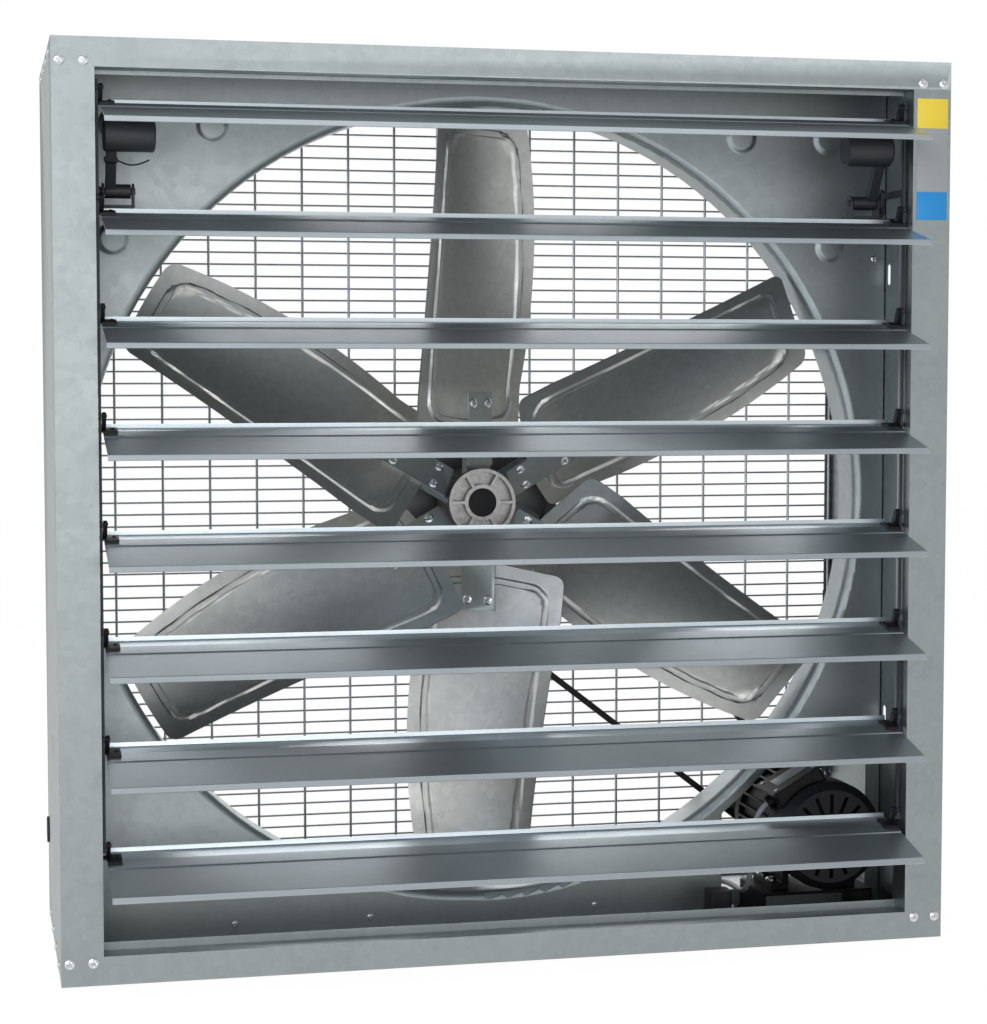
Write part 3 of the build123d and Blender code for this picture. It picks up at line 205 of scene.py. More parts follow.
motor_coat = coat("black_powder_coat", "#070708", "#0D0D0F", 0.46, 1.2, 0.05, specular=0.16)
hammer_coat = coat("dark_phosphated_steel", "#1F2224", "#2B2E31", 0.5, 1.6, 0.04)
clip_nylon = coat("moulded_black_nylon", "#0C0D10", "#151619", 0.5, 0.8, 0.04, specular=0.2)
belt_rubber = coat("wrapped_belt_rubber", "#151515", "#202020", 0.72, 0.7, 0.12)
grommet_rubber = coat("soft_black_rubber", "#17181A", "#222325", 0.62, 0.9, 0.05)
lead_pvc = coat("extruded_grey_pvc", "#82868A", "#92969A", 0.45, 1.5, 0.03)
plate_grey = coat("anodised_name_plate_blank", "#6E7174", "#7C7F82", 0.4, 1.0, 0.02)
label_yellow = coat("yellow_vinyl_film", "#D9BE2E", "#E4CB42", 0.4, 2.0, 0.01)
label_blue = coat("blue_vinyl_film", "#0C7FC0", "#158BCC", 0.4, 2.0, 0.01)
label_grey = coat("grey_vinyl_film", "#8E9294", "#9A9EA0", 0.4, 2.0, 0.01)
print("materials:", len(bpy.data.materials))

# %% [markdown]
# ## Motor lead
# The lead is a round cable, 7 mm thick, with a grey sheath. It leaves the terminal box, drops beside the
# motor, passes through the ring panel's cut-out, lies on the bottom panel in loose waves and goes out
# through the grommet. A smooth spline that is pulled by a few places bends as a real cable does.

# %% Motor lead
def round_cord(name, places, radius, roundness, closed=False):
    # A round cord along a smooth spline, which is open from its first to its last place, or closed.
    curve = bpy.data.curves.new(name, "CURVE")
    curve.dimensions = "3D"
    spline = curve.splines.new("NURBS")
    spline.points.add(len(places) - 1)
    for point, place in zip(spline.points, places):
        point.co = [value * mm for value in place] + [1.0]
    spline.order_u = 3
    spline.use_cyclic_u = closed
    spline.use_endpoint_u = not closed
    spline.resolution_u = 12
    curve.bevel_depth = radius * mm
    curve.bevel_resolution = roundness
    curve.use_fill_caps = True
    return curve


deck = 5.3
lead_places = [(357.73, -91, 160.52), (333, -91, 146.3), (333, -91, 34), (341, 45, 34), (300, 116, deck),
               (210, 124, deck), (60, 112, deck), (-120, 128, deck), (-300, 114, deck), (-415, 122, deck),
               (-500, 160, deck), (-505, 166, 115), (-548, 166, 115)]
lead_curve = round_cord("motor_lead_route", lead_places, 3.5, 4)
lead_curve.materials.append(lead_pvc)
lead = bpy.data.objects.new("motor_lead_sheath", lead_curve)
bpy.context.collection.objects.link(lead)
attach(lead, "casing")
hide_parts("motor_lead")
print("lead places:", len(lead_places))

# %% [markdown]
# ## Finishing a carried-over solid
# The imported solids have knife-sharp edges. Real sheet and castings never do, and the thin light line on a
# rounded edge is most of what makes metal look real. So each such solid is copied, its loose triangles
# are merged, its flat faces are joined, and its edges get a small bevel.

# %% Making and baking pieces
smooth_angle = 32
bevel_steps = 2


def place_piece(name, mesh, body, material):
    piece = bpy.data.objects.new(name, mesh)
    bpy.context.collection.objects.link(piece)
    mesh.materials.clear()
    mesh.materials.append(material)
    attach(piece, body)
    return piece


def shade_smooth(mesh):
    mesh.polygons.foreach_set("use_smooth", [True] * len(mesh.polygons))


def mesh_as_seen(thing):
    # The plain mesh that an object shows, with its modifiers or its curve worked out.
    depsgraph = bpy.context.evaluated_depsgraph_get()
    return bpy.data.meshes.new_from_object(thing.evaluated_get(depsgraph), depsgraph=depsgraph)


def bake(piece):
    # Turns live modifiers into plain mesh and marks the sharp edges for shading.
    mesh = mesh_as_seen(piece)
    piece.modifiers.clear()
    piece.data = mesh
    shade_smooth(mesh)
    mesh.set_sharp_from_angle(angle=radians(smooth_angle))
    return piece


def closed_mesh(name, verts, faces):
    # A closed mesh whose faces are all turned outwards.
    mesh = bpy.data.meshes.new(name)
    mesh.from_pydata(verts, [], faces)
    work = bmesh.new()
    work.from_mesh(mesh)
    bmesh.ops.recalc_face_normals(work, faces=work.faces)
    work.to_mesh(mesh)
    work.free()
    return mesh


def softened(node, body, material, bevel, cutter=None):
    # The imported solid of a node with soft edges. A cutter's form is taken out of it first.
    merge_distance, flat_angle, bevel_angle = 0.002, 0.5, 30
    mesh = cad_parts[node].data.copy()
    work = bmesh.new()
    work.from_mesh(mesh)
    bmesh.ops.remove_doubles(work, verts=work.verts, dist=merge_distance * mm)
    bmesh.ops.dissolve_limit(work, angle_limit=radians(flat_angle), verts=work.verts, edges=work.edges)
    work.to_mesh(mesh)
    work.free()
    mesh.name = node + "_edges"
    shade_smooth(mesh)
    piece = place_piece(node + "_finished", mesh, body, material)
    if cutter:
        cut = piece.modifiers.new("holes", "BOOLEAN")
        cut.operation = "DIFFERENCE"
        cut.solver = "EXACT"
        cut.object = cutter
    edge = piece.modifiers.new("edges", "BEVEL")
    edge.width = bevel * mm
    edge.segments = bevel_steps
    edge.limit_method = "ANGLE"
    edge.angle_limit = radians(bevel_angle)
    edge.use_clamp_overlap = True
    even = piece.modifiers.new("even_shading", "WEIGHTED_NORMAL")
    even.keep_sharp = True
    bake(piece)
    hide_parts(node)


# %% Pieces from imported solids
sheet_nodes = ["side_panel_left", "side_panel_right", "bottom_panel", "top_panel", "front_stile_left",
               "front_stile_right", "front_rail_bottom", "front_rail_top", "support_beam", "guard_clips"]
solids = [(node, "casing", casing_zinc, 0.35) for node in sheet_nodes]
for side in ("left", "right"):
    solids += [(f"hammer_bracket_{side}", "casing", hammer_coat, 0.5),
               (f"hammer_arm_{side}", f"hammer_{side}", hammer_coat, 0.5),
               (f"hammer_weight_{side}", f"hammer_{side}", hammer_coat, 0.8),
               (f"link_rod_{side}", f"link_rod_{side}_body", hammer_coat, 0.3)]
solids += [(f"louver_clips_{number}", f"louver_{number}_body", clip_nylon, 0.3) for number in range(1, 9)]
solids += [("hub", "impeller", cast_hub, 0.8), ("hub_cap", "impeller", clip_nylon, 0.5),
           ("star_arms", "impeller", ring_zinc, 0.5), ("big_pulley", "impeller", cast_pulley, 0.6),
           ("ball_bearings", "impeller", bearing_steel, 0.3), ("motor_body", "casing", motor_coat, 0.6),
           ("motor_fan_cover", "casing", clip_nylon, 0.8), ("motor_terminal_box", "casing", motor_coat, 0.8),
           ("motor_mount", "casing", motor_coat, 0.5), ("drive_belt", "casing", belt_rubber, 0.5),
           ("axle", "casing", bearing_steel, 0.4), ("cable_grommet", "casing", grommet_rubber, 0.6),
           ("motor_pulley", "motor_rotor", cast_pulley, 0.6),
           ("motor_shaft", "motor_rotor", bearing_steel, 0.5)]
for node, body, material, bevel in solids:
    softened(node, body, material, bevel)
print("finished solids:", len(solids))

# %% [markdown]
# ## Ring panel with its pressed marks
# The upper corners of the ring panel carry round pressed marks, flat bosses about 40 mm wide that stand
# proud of the sheet, so their lower walls catch the light from the floor as a bright crescent. Each mark
# is a hole cut in the panel's sheet and a turned dish of the same sheet that fills the hole.

# %% Ring panel
panel_front, panel_sheet = 3.0, 1.2
mark_radius, mark_rise = 21.0, 3.6
mark_steps = 40
mark_places = [(side * x, z) for side in (-1, 1)
               for x, z in ((346.0, 1022.0), (466.0, 1022.0), (470.0, 881.0))]


def turned_about_y(name, profile, centres):
    # Closed solids of revolution about lines along y. profile: (radius, y) places from pole to pole.
    verts, faces = [], []
    rings = profile[1:-1]
    last = (len(rings) - 1) * mark_steps
    for centre_x, centre_z in centres:
        pole = len(verts)
        verts += [(centre_x * mm, y * mm, centre_z * mm) for y in (profile[0][1], profile[-1][1])]
        for radius, y in rings:
            for step in range(mark_steps):
                turn = 2 * pi * step / mark_steps
                x, z = centre_x + radius * cos(turn), centre_z + radius * sin(turn)
                verts.append((x * mm, y * mm, z * mm))
        for step in range(mark_steps):
            a, b = pole + 2 + step, pole + 2 + (step + 1) % mark_steps
            faces.append((pole, b, a))
            faces.append((pole + 1, a + last, b + last))
            for ring in range(len(rings) - 1):
                low, high = ring * mark_steps, (ring + 1) * mark_steps
                faces.append((a + low, b + low, b + high, a + high))
    return closed_mesh(name, verts, faces)


hole_front, hole_back = panel_front - 5, panel_front + 5
hole_profile = [(0, hole_front), (mark_radius, hole_front), (mark_radius, hole_back), (0, hole_back)]
hole_cutter = bpy.data.objects.new("mark_holes", turned_about_y("mark_holes", hole_profile, mark_places))
bpy.context.collection.objects.link(hole_cutter)
softened("ring_panel", "casing", ring_zinc, 0.3, cutter=hole_cutter)
bpy.data.objects.remove(hole_cutter)

# The dish's wall as places: the radius, and the share of the full rise that is left there.
dish_wall = [(13.0, 1.0), (14.2, 0.96), (15.4, 0.84), (17.0, 0.56), (18.6, 0.24), (19.8, 0.06),
             (mark_radius, 0.0)]
front_side = [(0.0, panel_front - mark_rise)]
front_side += [(r, panel_front - mark_rise * share) for r, share in dish_wall]
back_side = [(r, y + panel_sheet) for r, y in front_side]
dishes = turned_about_y("pressed_marks", front_side + back_side[::-1], mark_places)
bake(place_piece("ring_panel_pressed_marks", dishes, "casing", ring_zinc))
print("pressed marks:", len(mark_places))

# %% [markdown]
# ## Shutter blades
# Each louvre is one strip of sheet, folded along its length: a short upturned tail, a shallow step, a
# small bead, a wide nose and a drip lip. A roll former leaves every fold with a radius of about twice the
# sheet. The profile is drawn as places, each corner is rounded, and the line is given its thickness.

# %% Outline of a folded strip
def rounded_line(places, steps=4):
    # A line of (y, z, radius) places whose inner corners are replaced by short arcs of the radius.
    longest_share = 0.45
    line = [Vector(places[0][:2])]
    for before, here, after in zip(places, places[1:], places[2:]):
        corner = Vector(here[:2])
        back = Vector(before[:2]) - corner
        ahead = Vector(after[:2]) - corner
        half = back.angle(ahead) / 2
        reach = min(here[2] / tan(half), back.length * longest_share, ahead.length * longest_share)
        start, end = corner + back.normalized() * reach, corner + ahead.normalized() * reach
        for step in range(steps + 1):
            t = step / steps
            line.append(start * (1 - t) ** 2 + corner * 2 * t * (1 - t) + end * t ** 2)
    return line + [Vector(places[-1][:2])]


def thickened(line, thickness):
    # The closed outline of a sheet whose underside is the line.
    upper = []
    for index, point in enumerate(line):
        ahead = line[min(index + 1, len(line) - 1)] - line[max(index - 1, 0)]
        normal = Vector((ahead.y, -ahead.x)).normalized()
        upper.append(point + normal * thickness)
    return line + upper[::-1]


def strip_mesh(name, outline, cuts, y0, z0):
    # A closed strip along x with the outline in y and z, and a row of points at each cut.
    verts = [(x * mm, (y0 + p.x) * mm, (z0 + p.y) * mm) for x in cuts for p in outline]
    count = len(outline)
    faces = []
    for row in range(len(cuts) - 1):
        for i in range(count):
            a, b = row * count + i, row * count + (i + 1) % count
            faces.append((a, b, b + count, a + count))
    last = (len(cuts) - 1) * count
    for i in range(count // 2 - 1):
        quad = (i, count - 1 - i, count - 2 - i, i + 1)
        faces.append(quad)
        faces.append(tuple(last + v for v in quad[::-1]))
    return closed_mesh(name, verts, faces)


# %% Eight shutter blades
louvre_count, lowest_pivot, pivot_pitch = 8, 145.5, 126.3
pivot_heights = [lowest_pivot + pivot_pitch * step for step in range(louvre_count)][::-1]
pivot_y = front_y + 28.0
louvre_half, louvre_sheet, louvre_parts = 494.5, 0.9, 8
fold_line = [(29.6, 5.3, 0.5), (29, -0.8, 1.6), (-6.5, -2.9, 2.2), (-28, -8.3, 1.2), (-29.5, -9.8, 1.2),
             (-99, -26.8, 2.4), (-103.5, -32.8, 0.5)]
louvre_outline = thickened(rounded_line(fold_line), louvre_sheet)
louvre_cuts = [-louvre_half + 2 * louvre_half * step / louvre_parts for step in range(louvre_parts + 1)]
for number, height in enumerate(pivot_heights, start=1):
    mesh = strip_mesh(f"louvre_{number}_sheet", louvre_outline, louvre_cuts, pivot_y, height)
    louvre = place_piece(f"louvre_{number}_folded", mesh, f"louver_{number}_body", louvre_zinc)
    bake(louvre)
    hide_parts(f"louver_{number}")
print("louvres:", louvre_count, "outline points:", len(louvre_outline))

# %% [markdown]
# ## Impeller blades
# Each blade is a pressed sheet: flat where it is bolted, then cupped and untwisting towards the tip. A
# bead runs round it 22 mm inside the edge and stiffens it. A grid is laid over the blade, fine near its
# edges, and each point is lifted by its distance from the edge. Geometry Nodes repeat the first blade
# round the axis, because six equal blades are a rule and not six shapes.

# %% Form of a blade
blade_count = 6
blade_y = front_y + 233.0
blade_sheet = 2.0
blade_root, blade_tip = 81.0, 500.0
# Each station: radius, chord, angle in degrees, shift and cup.
stations = [(47, 205, 38, 22, 0), (142, 202, 38, 16, 0), (321, 184, 31, -9, 14), (503, 140, 25, -8, 10)]


def at_radius(radius):
    # Chord, angle, shift and cup at a radius: straight between two stations, then a curve through three.
    if radius <= stations[1][0]:
        share = (radius - stations[0][0]) / (stations[1][0] - stations[0][0])
        return [a + (b - a) * share for a, b in zip(stations[0][1:], stations[1][1:])]
    r1, r2, r3 = (station[0] for station in stations[1:])
    w1 = (radius - r2) * (radius - r3) / ((r1 - r2) * (r1 - r3))
    w2 = (radius - r1) * (radius - r3) / ((r2 - r1) * (r2 - r3))
    w3 = (radius - r1) * (radius - r2) / ((r3 - r1) * (r3 - r2))
    return [a * w1 + b * w2 + c * w3 for a, b, c in zip(*(station[1:] for station in stations[1:]))]


def spaced(low, high, fine_to=34.0, fine_step=1.7, coarse_step=9.0):
    # Places from low to high that are close together near both ends.
    places, here = [], 0.0
    middle = (high - low) / 2
    while here < middle:
        places.append(here)
        here += fine_step if here < fine_to else coarse_step
    places = [p for p in places if p < middle - fine_step / 2] + [middle]
    return [low + p for p in places] + [high - p for p in places[-2::-1]]


def bead_height(a, b, inset=22.0, half_width=5.2, wall=2.0, height=2.8, corner=24.0):
    # The lift of the flat-topped bead at a distance a from the blade's ends and b from its sides.
    centre = inset + corner
    if a < centre and b < centre:
        distance = centre - hypot(centre - a, centre - b)
    else:
        distance = min(a, b)
    beyond = (abs(distance - inset) - (half_width - wall)) / wall
    share = min(max(1 - beyond, 0.0), 1.0)
    return height * share * share * (3 - 2 * share)


def round_corner(a, b, radius=13.0):
    # Moves a point of a square corner into a round one. Distances are to the two edges.
    if a >= radius or b >= radius:
        return a, b
    p, q = (radius - a) / radius, (radius - b) / radius
    if p >= q:
        turn = pi / 4 * (q / p if p else 0)
        return radius - p * cos(turn) * radius, radius - p * sin(turn) * radius
    turn = pi / 4 * (p / q)
    return radius - q * sin(turn) * radius, radius - q * cos(turn) * radius


def blade_point(along, across, chord, angle, shift, cup, lift):
    # A point of the blade's front face, lifted towards the shutter by the bead.
    side = 2 * across / chord
    depth = -cup * (1 - side * side) + lift
    s = across + shift
    return Vector((along, blade_y - s * sin(angle) - depth * cos(angle), s * cos(angle) - depth * sin(angle)))


# %% One blade
grid_width = 184.0
root_flat, root_reach, root_bow, bow_end = 24.0, 102.5, 16.0, 120.0
arc_start, arc_full = 300.0, 500.0


def blade_mesh():
    # The front face. Its root edge bows outwards beside a flat middle, and its tip edge follows the ring.
    rows, columns = spaced(blade_root, blade_tip), spaced(0.0, grid_width)
    middle = grid_width / 2
    verts = []
    for radius in rows:
        near_root = radius - blade_root < blade_tip - radius
        from_end = min(radius - blade_root, blade_tip - radius)
        row_chord = at_radius(radius)[0]
        for column in columns:
            from_side = min(column, grid_width - column) * row_chord / grid_width
            a, b = round_corner(from_end, from_side)
            r = blade_root + a if near_root else blade_tip - a
            chord, degrees_here, shift, cup = at_radius(r)
            angle = radians(degrees_here)
            across = (chord / 2 - b) * (1 if column > middle else -1)
            if abs(column - middle) < 1e-6:
                across = 0.0
            z = (across + shift) * cos(angle)
            if near_root:
                bow = max(0.0, (abs(z) - root_flat) / (root_reach - root_flat)) * root_bow
                along = r + bow * max(0.0, 1 - (r - blade_root) / bow_end)
            else:
                arc_share = max(0.0, (r - arc_start) / (arc_full - arc_start))
                along = r + (sqrt(max(r * r - z * z, 1.0)) - r) * arc_share
            verts.append(blade_point(along, across, chord, angle, shift, cup, bead_height(a, b)))
    width = len(columns)
    faces = [(a, a + width, a + width + 1, a + 1) for row in range(len(rows) - 1)
             for a in range(row * width, row * width + width - 1)]
    mesh = bpy.data.meshes.new("blade_front_face")
    place = Matrix.Translation((0, 0, ring_centre * mm))
    mesh.from_pydata([place @ (v * mm) for v in verts], [], faces)
    return mesh


first_blade = bpy.data.objects.new("blade_master", blade_mesh())
bpy.context.collection.objects.link(first_blade)
sheet = first_blade.modifiers.new("sheet", "SOLIDIFY")
sheet.thickness = blade_sheet * mm
sheet.offset = -1.0
bake(first_blade)
blade_start = first_blade.data
bpy.data.objects.remove(first_blade)
print("faces of one blade:", len(blade_start.polygons))

# %% [markdown]
# The Geometry Nodes trees that follow share one pattern: a tree with named inputs, a modifier that runs
# it, and a bake that keeps the result as plain mesh.

# %% Geometry Nodes helpers
def new_tree(name, **inputs):
    # A tree with a geometry input and output and the named inputs, each with its socket type.
    tree = bpy.data.node_groups.new(name, "GeometryNodeTree")
    tree.interface.new_socket("Geometry", in_out="INPUT", socket_type="NodeSocketGeometry")
    tree.interface.new_socket("Geometry", in_out="OUTPUT", socket_type="NodeSocketGeometry")
    for label, kind in inputs.items():
        tree.interface.new_socket(label, in_out="INPUT", socket_type="NodeSocket" + kind)
    return tree, add(tree, "NodeGroupInput").outputs


def end_tree(tree, given, geometry):
    # Every tree ends in real mesh with its material set.
    realised = add(tree, "GeometryNodeRealizeInstances", {"Geometry": geometry}).outputs["Geometry"]
    dressed = add(tree, "GeometryNodeSetMaterial", {"Geometry": realised, "Material": given["Material"]})
    add(tree, "NodeGroupOutput", {"Geometry": dressed.outputs["Geometry"]})


def grown(name, tree, body, start=None, **values):
    # Runs a tree on a mesh and bakes the result into a piece.
    mesh = start or bpy.data.meshes.new(name)
    piece = bpy.data.objects.new(name, mesh)
    bpy.context.collection.objects.link(piece)
    modifier = piece.modifiers.new("shape", "NODES")
    modifier.node_group = tree
    for item in tree.interface.items_tree:
        if item.item_type == "SOCKET" and item.in_out == "INPUT" and item.name in values:
            modifier[item.identifier] = values[item.name]
    bpy.context.view_layer.update()
    bake(piece)
    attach(piece, body)
    print(name, "faces:", len(piece.data.polygons))
    return piece


# %% Six blades from one
tree, given = new_tree("repeat_round_axis", Count="Int", Centre="Vector", Material="Material")
turns = add(tree, "GeometryNodeMeshLine", {"Count": given["Count"], "Start Location": given["Centre"],
                                           "Offset": (0.0, 0.0, 0.0)}).outputs["Mesh"]
index = add(tree, "GeometryNodeInputIndex").outputs["Index"]
share = add(tree, "ShaderNodeMath", {0: index, 1: given["Count"]}, operation="DIVIDE").outputs["Value"]
half_step = add(tree, "ShaderNodeMath", {0: 0.5, 1: given["Count"]}, operation="DIVIDE").outputs["Value"]
share = add(tree, "ShaderNodeMath", {0: share, 1: half_step}, operation="ADD").outputs["Value"]
angle = add(tree, "ShaderNodeMath", {0: share, 1: -2 * pi}, operation="MULTIPLY").outputs["Value"]
turn = add(tree, "ShaderNodeCombineXYZ", {"Y": angle}).outputs["Vector"]
back = add(tree, "ShaderNodeVectorMath", {0: given["Centre"], "Scale": -1.0}, operation="SCALE")
centred = add(tree, "GeometryNodeTransform", {"Geometry": given["Geometry"],
                                              "Translation": back.outputs["Vector"]}).outputs["Geometry"]
copies = add(tree, "GeometryNodeInstanceOnPoints", {"Points": turns, "Instance": centred, "Rotation": turn})
end_tree(tree, given, copies.outputs["Instances"])

blades = grown("impeller_blades", tree, "impeller", start=blade_start, Count=blade_count,
               Centre=(0.0, 0.0, ring_centre * mm), Material=blade_steel)
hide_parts(*[f"fan_blade_{number}" for number in range(1, blade_count + 1)])

# %% [markdown]
# ## Wire guard
# The guard is a mat of straight round wires, welded where they cross: thin ones across, thicker ones
# upright. Geometry Nodes sweep one wire and repeat it at the pitch of the mat.

# %% Wire guard
wire_sides = 8
tree, given = new_tree("row_of_wires", Count="Int", First="Vector", Step="Vector", Run="Vector",
                       Radius="Float", Material="Material")
wire = add(tree, "GeometryNodeCurvePrimitiveLine", {"End": given["Run"]}).outputs["Curve"]
section = add(tree, "GeometryNodeCurvePrimitiveCircle", {"Resolution": wire_sides, "Radius": given["Radius"]})
rod = add(tree, "GeometryNodeCurveToMesh", {"Curve": wire, "Profile Curve": section.outputs["Curve"],
                                            "Fill Caps": True}).outputs["Mesh"]
row = add(tree, "GeometryNodeMeshLine", {"Count": given["Count"], "Start Location": given["First"],
                                         "Offset": given["Step"]}).outputs["Mesh"]
rods = add(tree, "GeometryNodeInstanceOnPoints", {"Points": row, "Instance": rod}).outputs["Instances"]
end_tree(tree, given, rods)
wires_tree = tree


def wire_row(name, count, first, step, run, radius):
    # count wires that run one way, the first from its own place and each next one a step further.
    first, step, run = ([value * mm for value in line] for line in (first, step, run))
    return grown(name, wires_tree, "casing", Count=count, First=first, Step=step, Run=run, Radius=radius * mm,
                 Material=wire_zinc)


cross_count, cross_y = 70, 197.45
cross_pitch = 1094.9 / (cross_count - 1)
upright_y, upright_foot, upright_run = 194.3, 1.6, (0.0, 0.0, 1096.8)
cross_wires = wire_row("guard_cross_wires", cross_count, (-546.8, cross_y, 2.55), (0.0, 0.0, cross_pitch),
                       (1093.6, 0.0, 0.0), 1.3)
upright_wires = wire_row("guard_upright_wires", 17, (-520.8, upright_y, upright_foot), (62.8, 0.0, 0.0),
                         upright_run, 1.8)
wire_row("guard_rim_wires", 2, (-544.8, upright_y, upright_foot), (1089.6, 0.0, 0.0), upright_run, 1.9)
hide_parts("guard_bars")
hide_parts("guard_wires")

# %% [markdown]
# ## Screws
# Pan head screws hold the casing, and the same kind with a larger head holds the blades. One head is
# modelled with its cross recess, and Geometry Nodes put a copy on every place, turned to face outwards.

# %% Screw heads
def pan_head(name, radius, height, recess):
    # A low dome with a cross shaped recess, standing on z = 0. Rings are shares of the radius.
    rings = [0.16, 0.3, 0.44, 0.56, 0.68, 0.82, 0.94, 1.0, 1.0]
    sides = 24
    flatness, slot_half_width, slot_end, slot_slope = 0.92, 0.11, 0.6, 0.5
    verts, faces = [(0.0, 0.0, (height - recess) * mm)], []
    for ring, share in enumerate(rings, start=1):
        for step in range(sides):
            turn = 2 * pi * step / sides
            x, y = radius * share * cos(turn), radius * share * sin(turn)
            z = height * sqrt(max(0.0, 1 - (share * flatness) ** 2)) if ring < len(rings) else 0.0
            if min(abs(x), abs(y)) < radius * slot_half_width and share < slot_end:
                z -= recess * (1 - share * slot_slope)
            verts.append((x * mm, y * mm, z * mm))
    for step in range(sides):
        after = (step + 1) % sides
        faces.append((0, 1 + step, 1 + after))
        for ring in range(len(rings) - 1):
            a, b = 1 + ring * sides + step, 1 + ring * sides + after
            faces.append((a, a + sides, b + sides, b))
    faces.append([1 + (len(rings) - 1) * sides + step for step in range(sides)][::-1])
    mesh = bpy.data.meshes.new(name)
    mesh.from_pydata(verts, [], faces)
    head = bpy.data.objects.new(name, mesh)
    bpy.context.collection.objects.link(head)
    return head


tree, given = new_tree("heads_on_places", Head="Object", Material="Material")
facing = add(tree, "GeometryNodeInputNamedAttribute", {"Name": "facing"}, data_type="FLOAT_VECTOR")
turned = add(tree, "FunctionNodeAlignRotationToVector", {"Vector": facing.outputs["Attribute"]},
             axis="Z").outputs["Rotation"]
head = add(tree, "GeometryNodeObjectInfo", {"Object": given["Head"]}).outputs["Geometry"]
heads = add(tree, "GeometryNodeInstanceOnPoints", {"Points": given["Geometry"], "Instance": head,
                                                   "Rotation": turned})
end_tree(tree, given, heads.outputs["Instances"])
heads_tree = tree


def heads_at(name, body, places, radius, height):
    # places: (x, y, z) with the way that each head faces. The recess takes half of the head's height.
    points = bpy.data.meshes.new(name + "_places")
    points.from_pydata([Vector(place) * mm for place, way in places], [], [])
    ways = points.attributes.new("facing", "FLOAT_VECTOR", "POINT")
    ways.data.foreach_set("vector", [value for place, way in places for value in way])
    master = pan_head(name + "_master", radius, height, height / 2)
    piece = grown(name, heads_tree, body, start=points, Head=master, Material=screw_zinc)
    bpy.data.objects.remove(master)
    return piece


# %% Screws of casing, mount and ring panel
forward, upward, downward = (0, -1, 0), (0, 0, 1), (0, 0, -1)
side_rise, corner_rise, corner_x = 11.0, 27.0, (540.4, 513.0)
corner_flange, side_pitch = 20, 90
side_depths = [corner_flange + side_pitch * (n + 0.5) for n in range(4)]
screw_places = []
for side in (-1, 1):
    for z in (side_rise, casing_height - side_rise):
        screw_places += [((side * half_width, front_y + depth, z), (side, 0, 0)) for depth in side_depths]
    for z in (corner_rise, casing_height - corner_rise):
        screw_places += [((side * x, front_y, z), forward) for x in corner_x]
beam_y, beam_foot = 169.0, 4.25
for x in (-12.5, 12.5):
    screw_places += [((x, beam_y, beam_foot), upward), ((x, beam_y, casing_height - beam_foot), downward)]
frame_screws = heads_at("casing_screws", "casing", screw_places, radius=6.0, height=2.6)
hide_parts("frame_screws")

mount_foot_top, motor_foot_top = 5.25, 50.3
mount_places = [((x, y, mount_foot_top), upward) for x in (336.0, 514.0) for y in (-74.0, -18.0)]
mount_places += [((x, y, motor_foot_top), upward) for x in (373.0, 477.0) for y in (-57.0, -23.0)]
heads_at("mount_bolts", "casing", mount_places, radius=7.0, height=5.0)
panel_places = [((side * x, panel_front, z), forward) for side in (-1, 1)
                for x, z in ((532.7, 866.3), (532.7, 230.0), (325.0, 15.0), (150.0, 15.0))]
heads_at("ring_panel_screws", "casing", panel_places, radius=4.2, height=2.0)

# %% Screws of the impeller blades
bolt_radii, bolt_reach, bolt_lift = (67.0, 128.0), 15.0, 3.3
slant = radians(stations[0][2])
toward = Vector((0, -cos(slant), -sin(slant)))
chordwise = Vector((0, -sin(slant), cos(slant)))
bolt_places = []
for blade in range(blade_count):
    turn = Matrix.Rotation(-radians(360 / blade_count * (blade + 0.5)), 3, "Y")
    for radius in bolt_radii:
        for reach in (-bolt_reach, bolt_reach):
            place = Vector((radius, blade_y, 0)) + chordwise * reach + toward * bolt_lift
            place = turn @ place + Vector((0, 0, ring_centre))
            bolt_places.append((tuple(place), tuple(turn @ toward)))
blade_bolts = heads_at("blade_screws", "impeller", bolt_places, radius=6.5, height=3.0)
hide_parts("blade_bolts")

# %% [markdown]
# ## Plain plate, film strip and tie
# Thin trim is laid on what carries it: an anodised plate with no marks on the terminal box, four lid
# screws, a vinyl film strip in three plain colours on the right stile, and the nylon tie round the left
# hammer arm with its loose tail.

# %% Plate and lid screws on the terminal box
motor_axis = Vector((425.0, 0.0, 122.0))
box_tilt = radians(30)
lid_up = Vector((-sin(box_tilt), 0.0, cos(box_tilt)))
lid_along = Vector((cos(box_tilt), 0.0, sin(box_tilt)))
lid_height, lid_middle_y = 84.0, -91.0
contact_gap = 0.05


def on_lid(along, y, rise=0.0):
    return motor_axis + lid_along * along + Vector((0, lid_middle_y + y, 0)) + lid_up * (lid_height + rise)


def slab(name, corners, up, thickness, material, bevel):
    # A thin plate on four corner places, with soft edges.
    low = [p * mm for p in corners]
    high = [(p + up * thickness) * mm for p in corners]
    faces = [(3, 2, 1, 0), (4, 5, 6, 7), (0, 1, 5, 4), (1, 2, 6, 5), (2, 3, 7, 6), (3, 0, 4, 7)]
    piece = place_piece(name, closed_mesh(name, low + high, faces), "casing", material)
    edge = piece.modifiers.new("edges", "BEVEL")
    edge.width = bevel * mm
    edge.segments = bevel_steps
    bake(piece)


plate_corners = [on_lid(a, y, contact_gap) for a, y in ((-22, -15), (22, -15), (22, 15), (-22, 15))]
slab("terminal_box_plate", plate_corners, lid_up, 0.8, plate_grey, 0.25)
lid_screws = [(tuple(on_lid(a, y)), tuple(lid_up)) for a in (-29.0, 29.0) for y in (-26.0, 26.0)]
heads_at("lid_screws", "casing", lid_screws, radius=3.0, height=1.8)

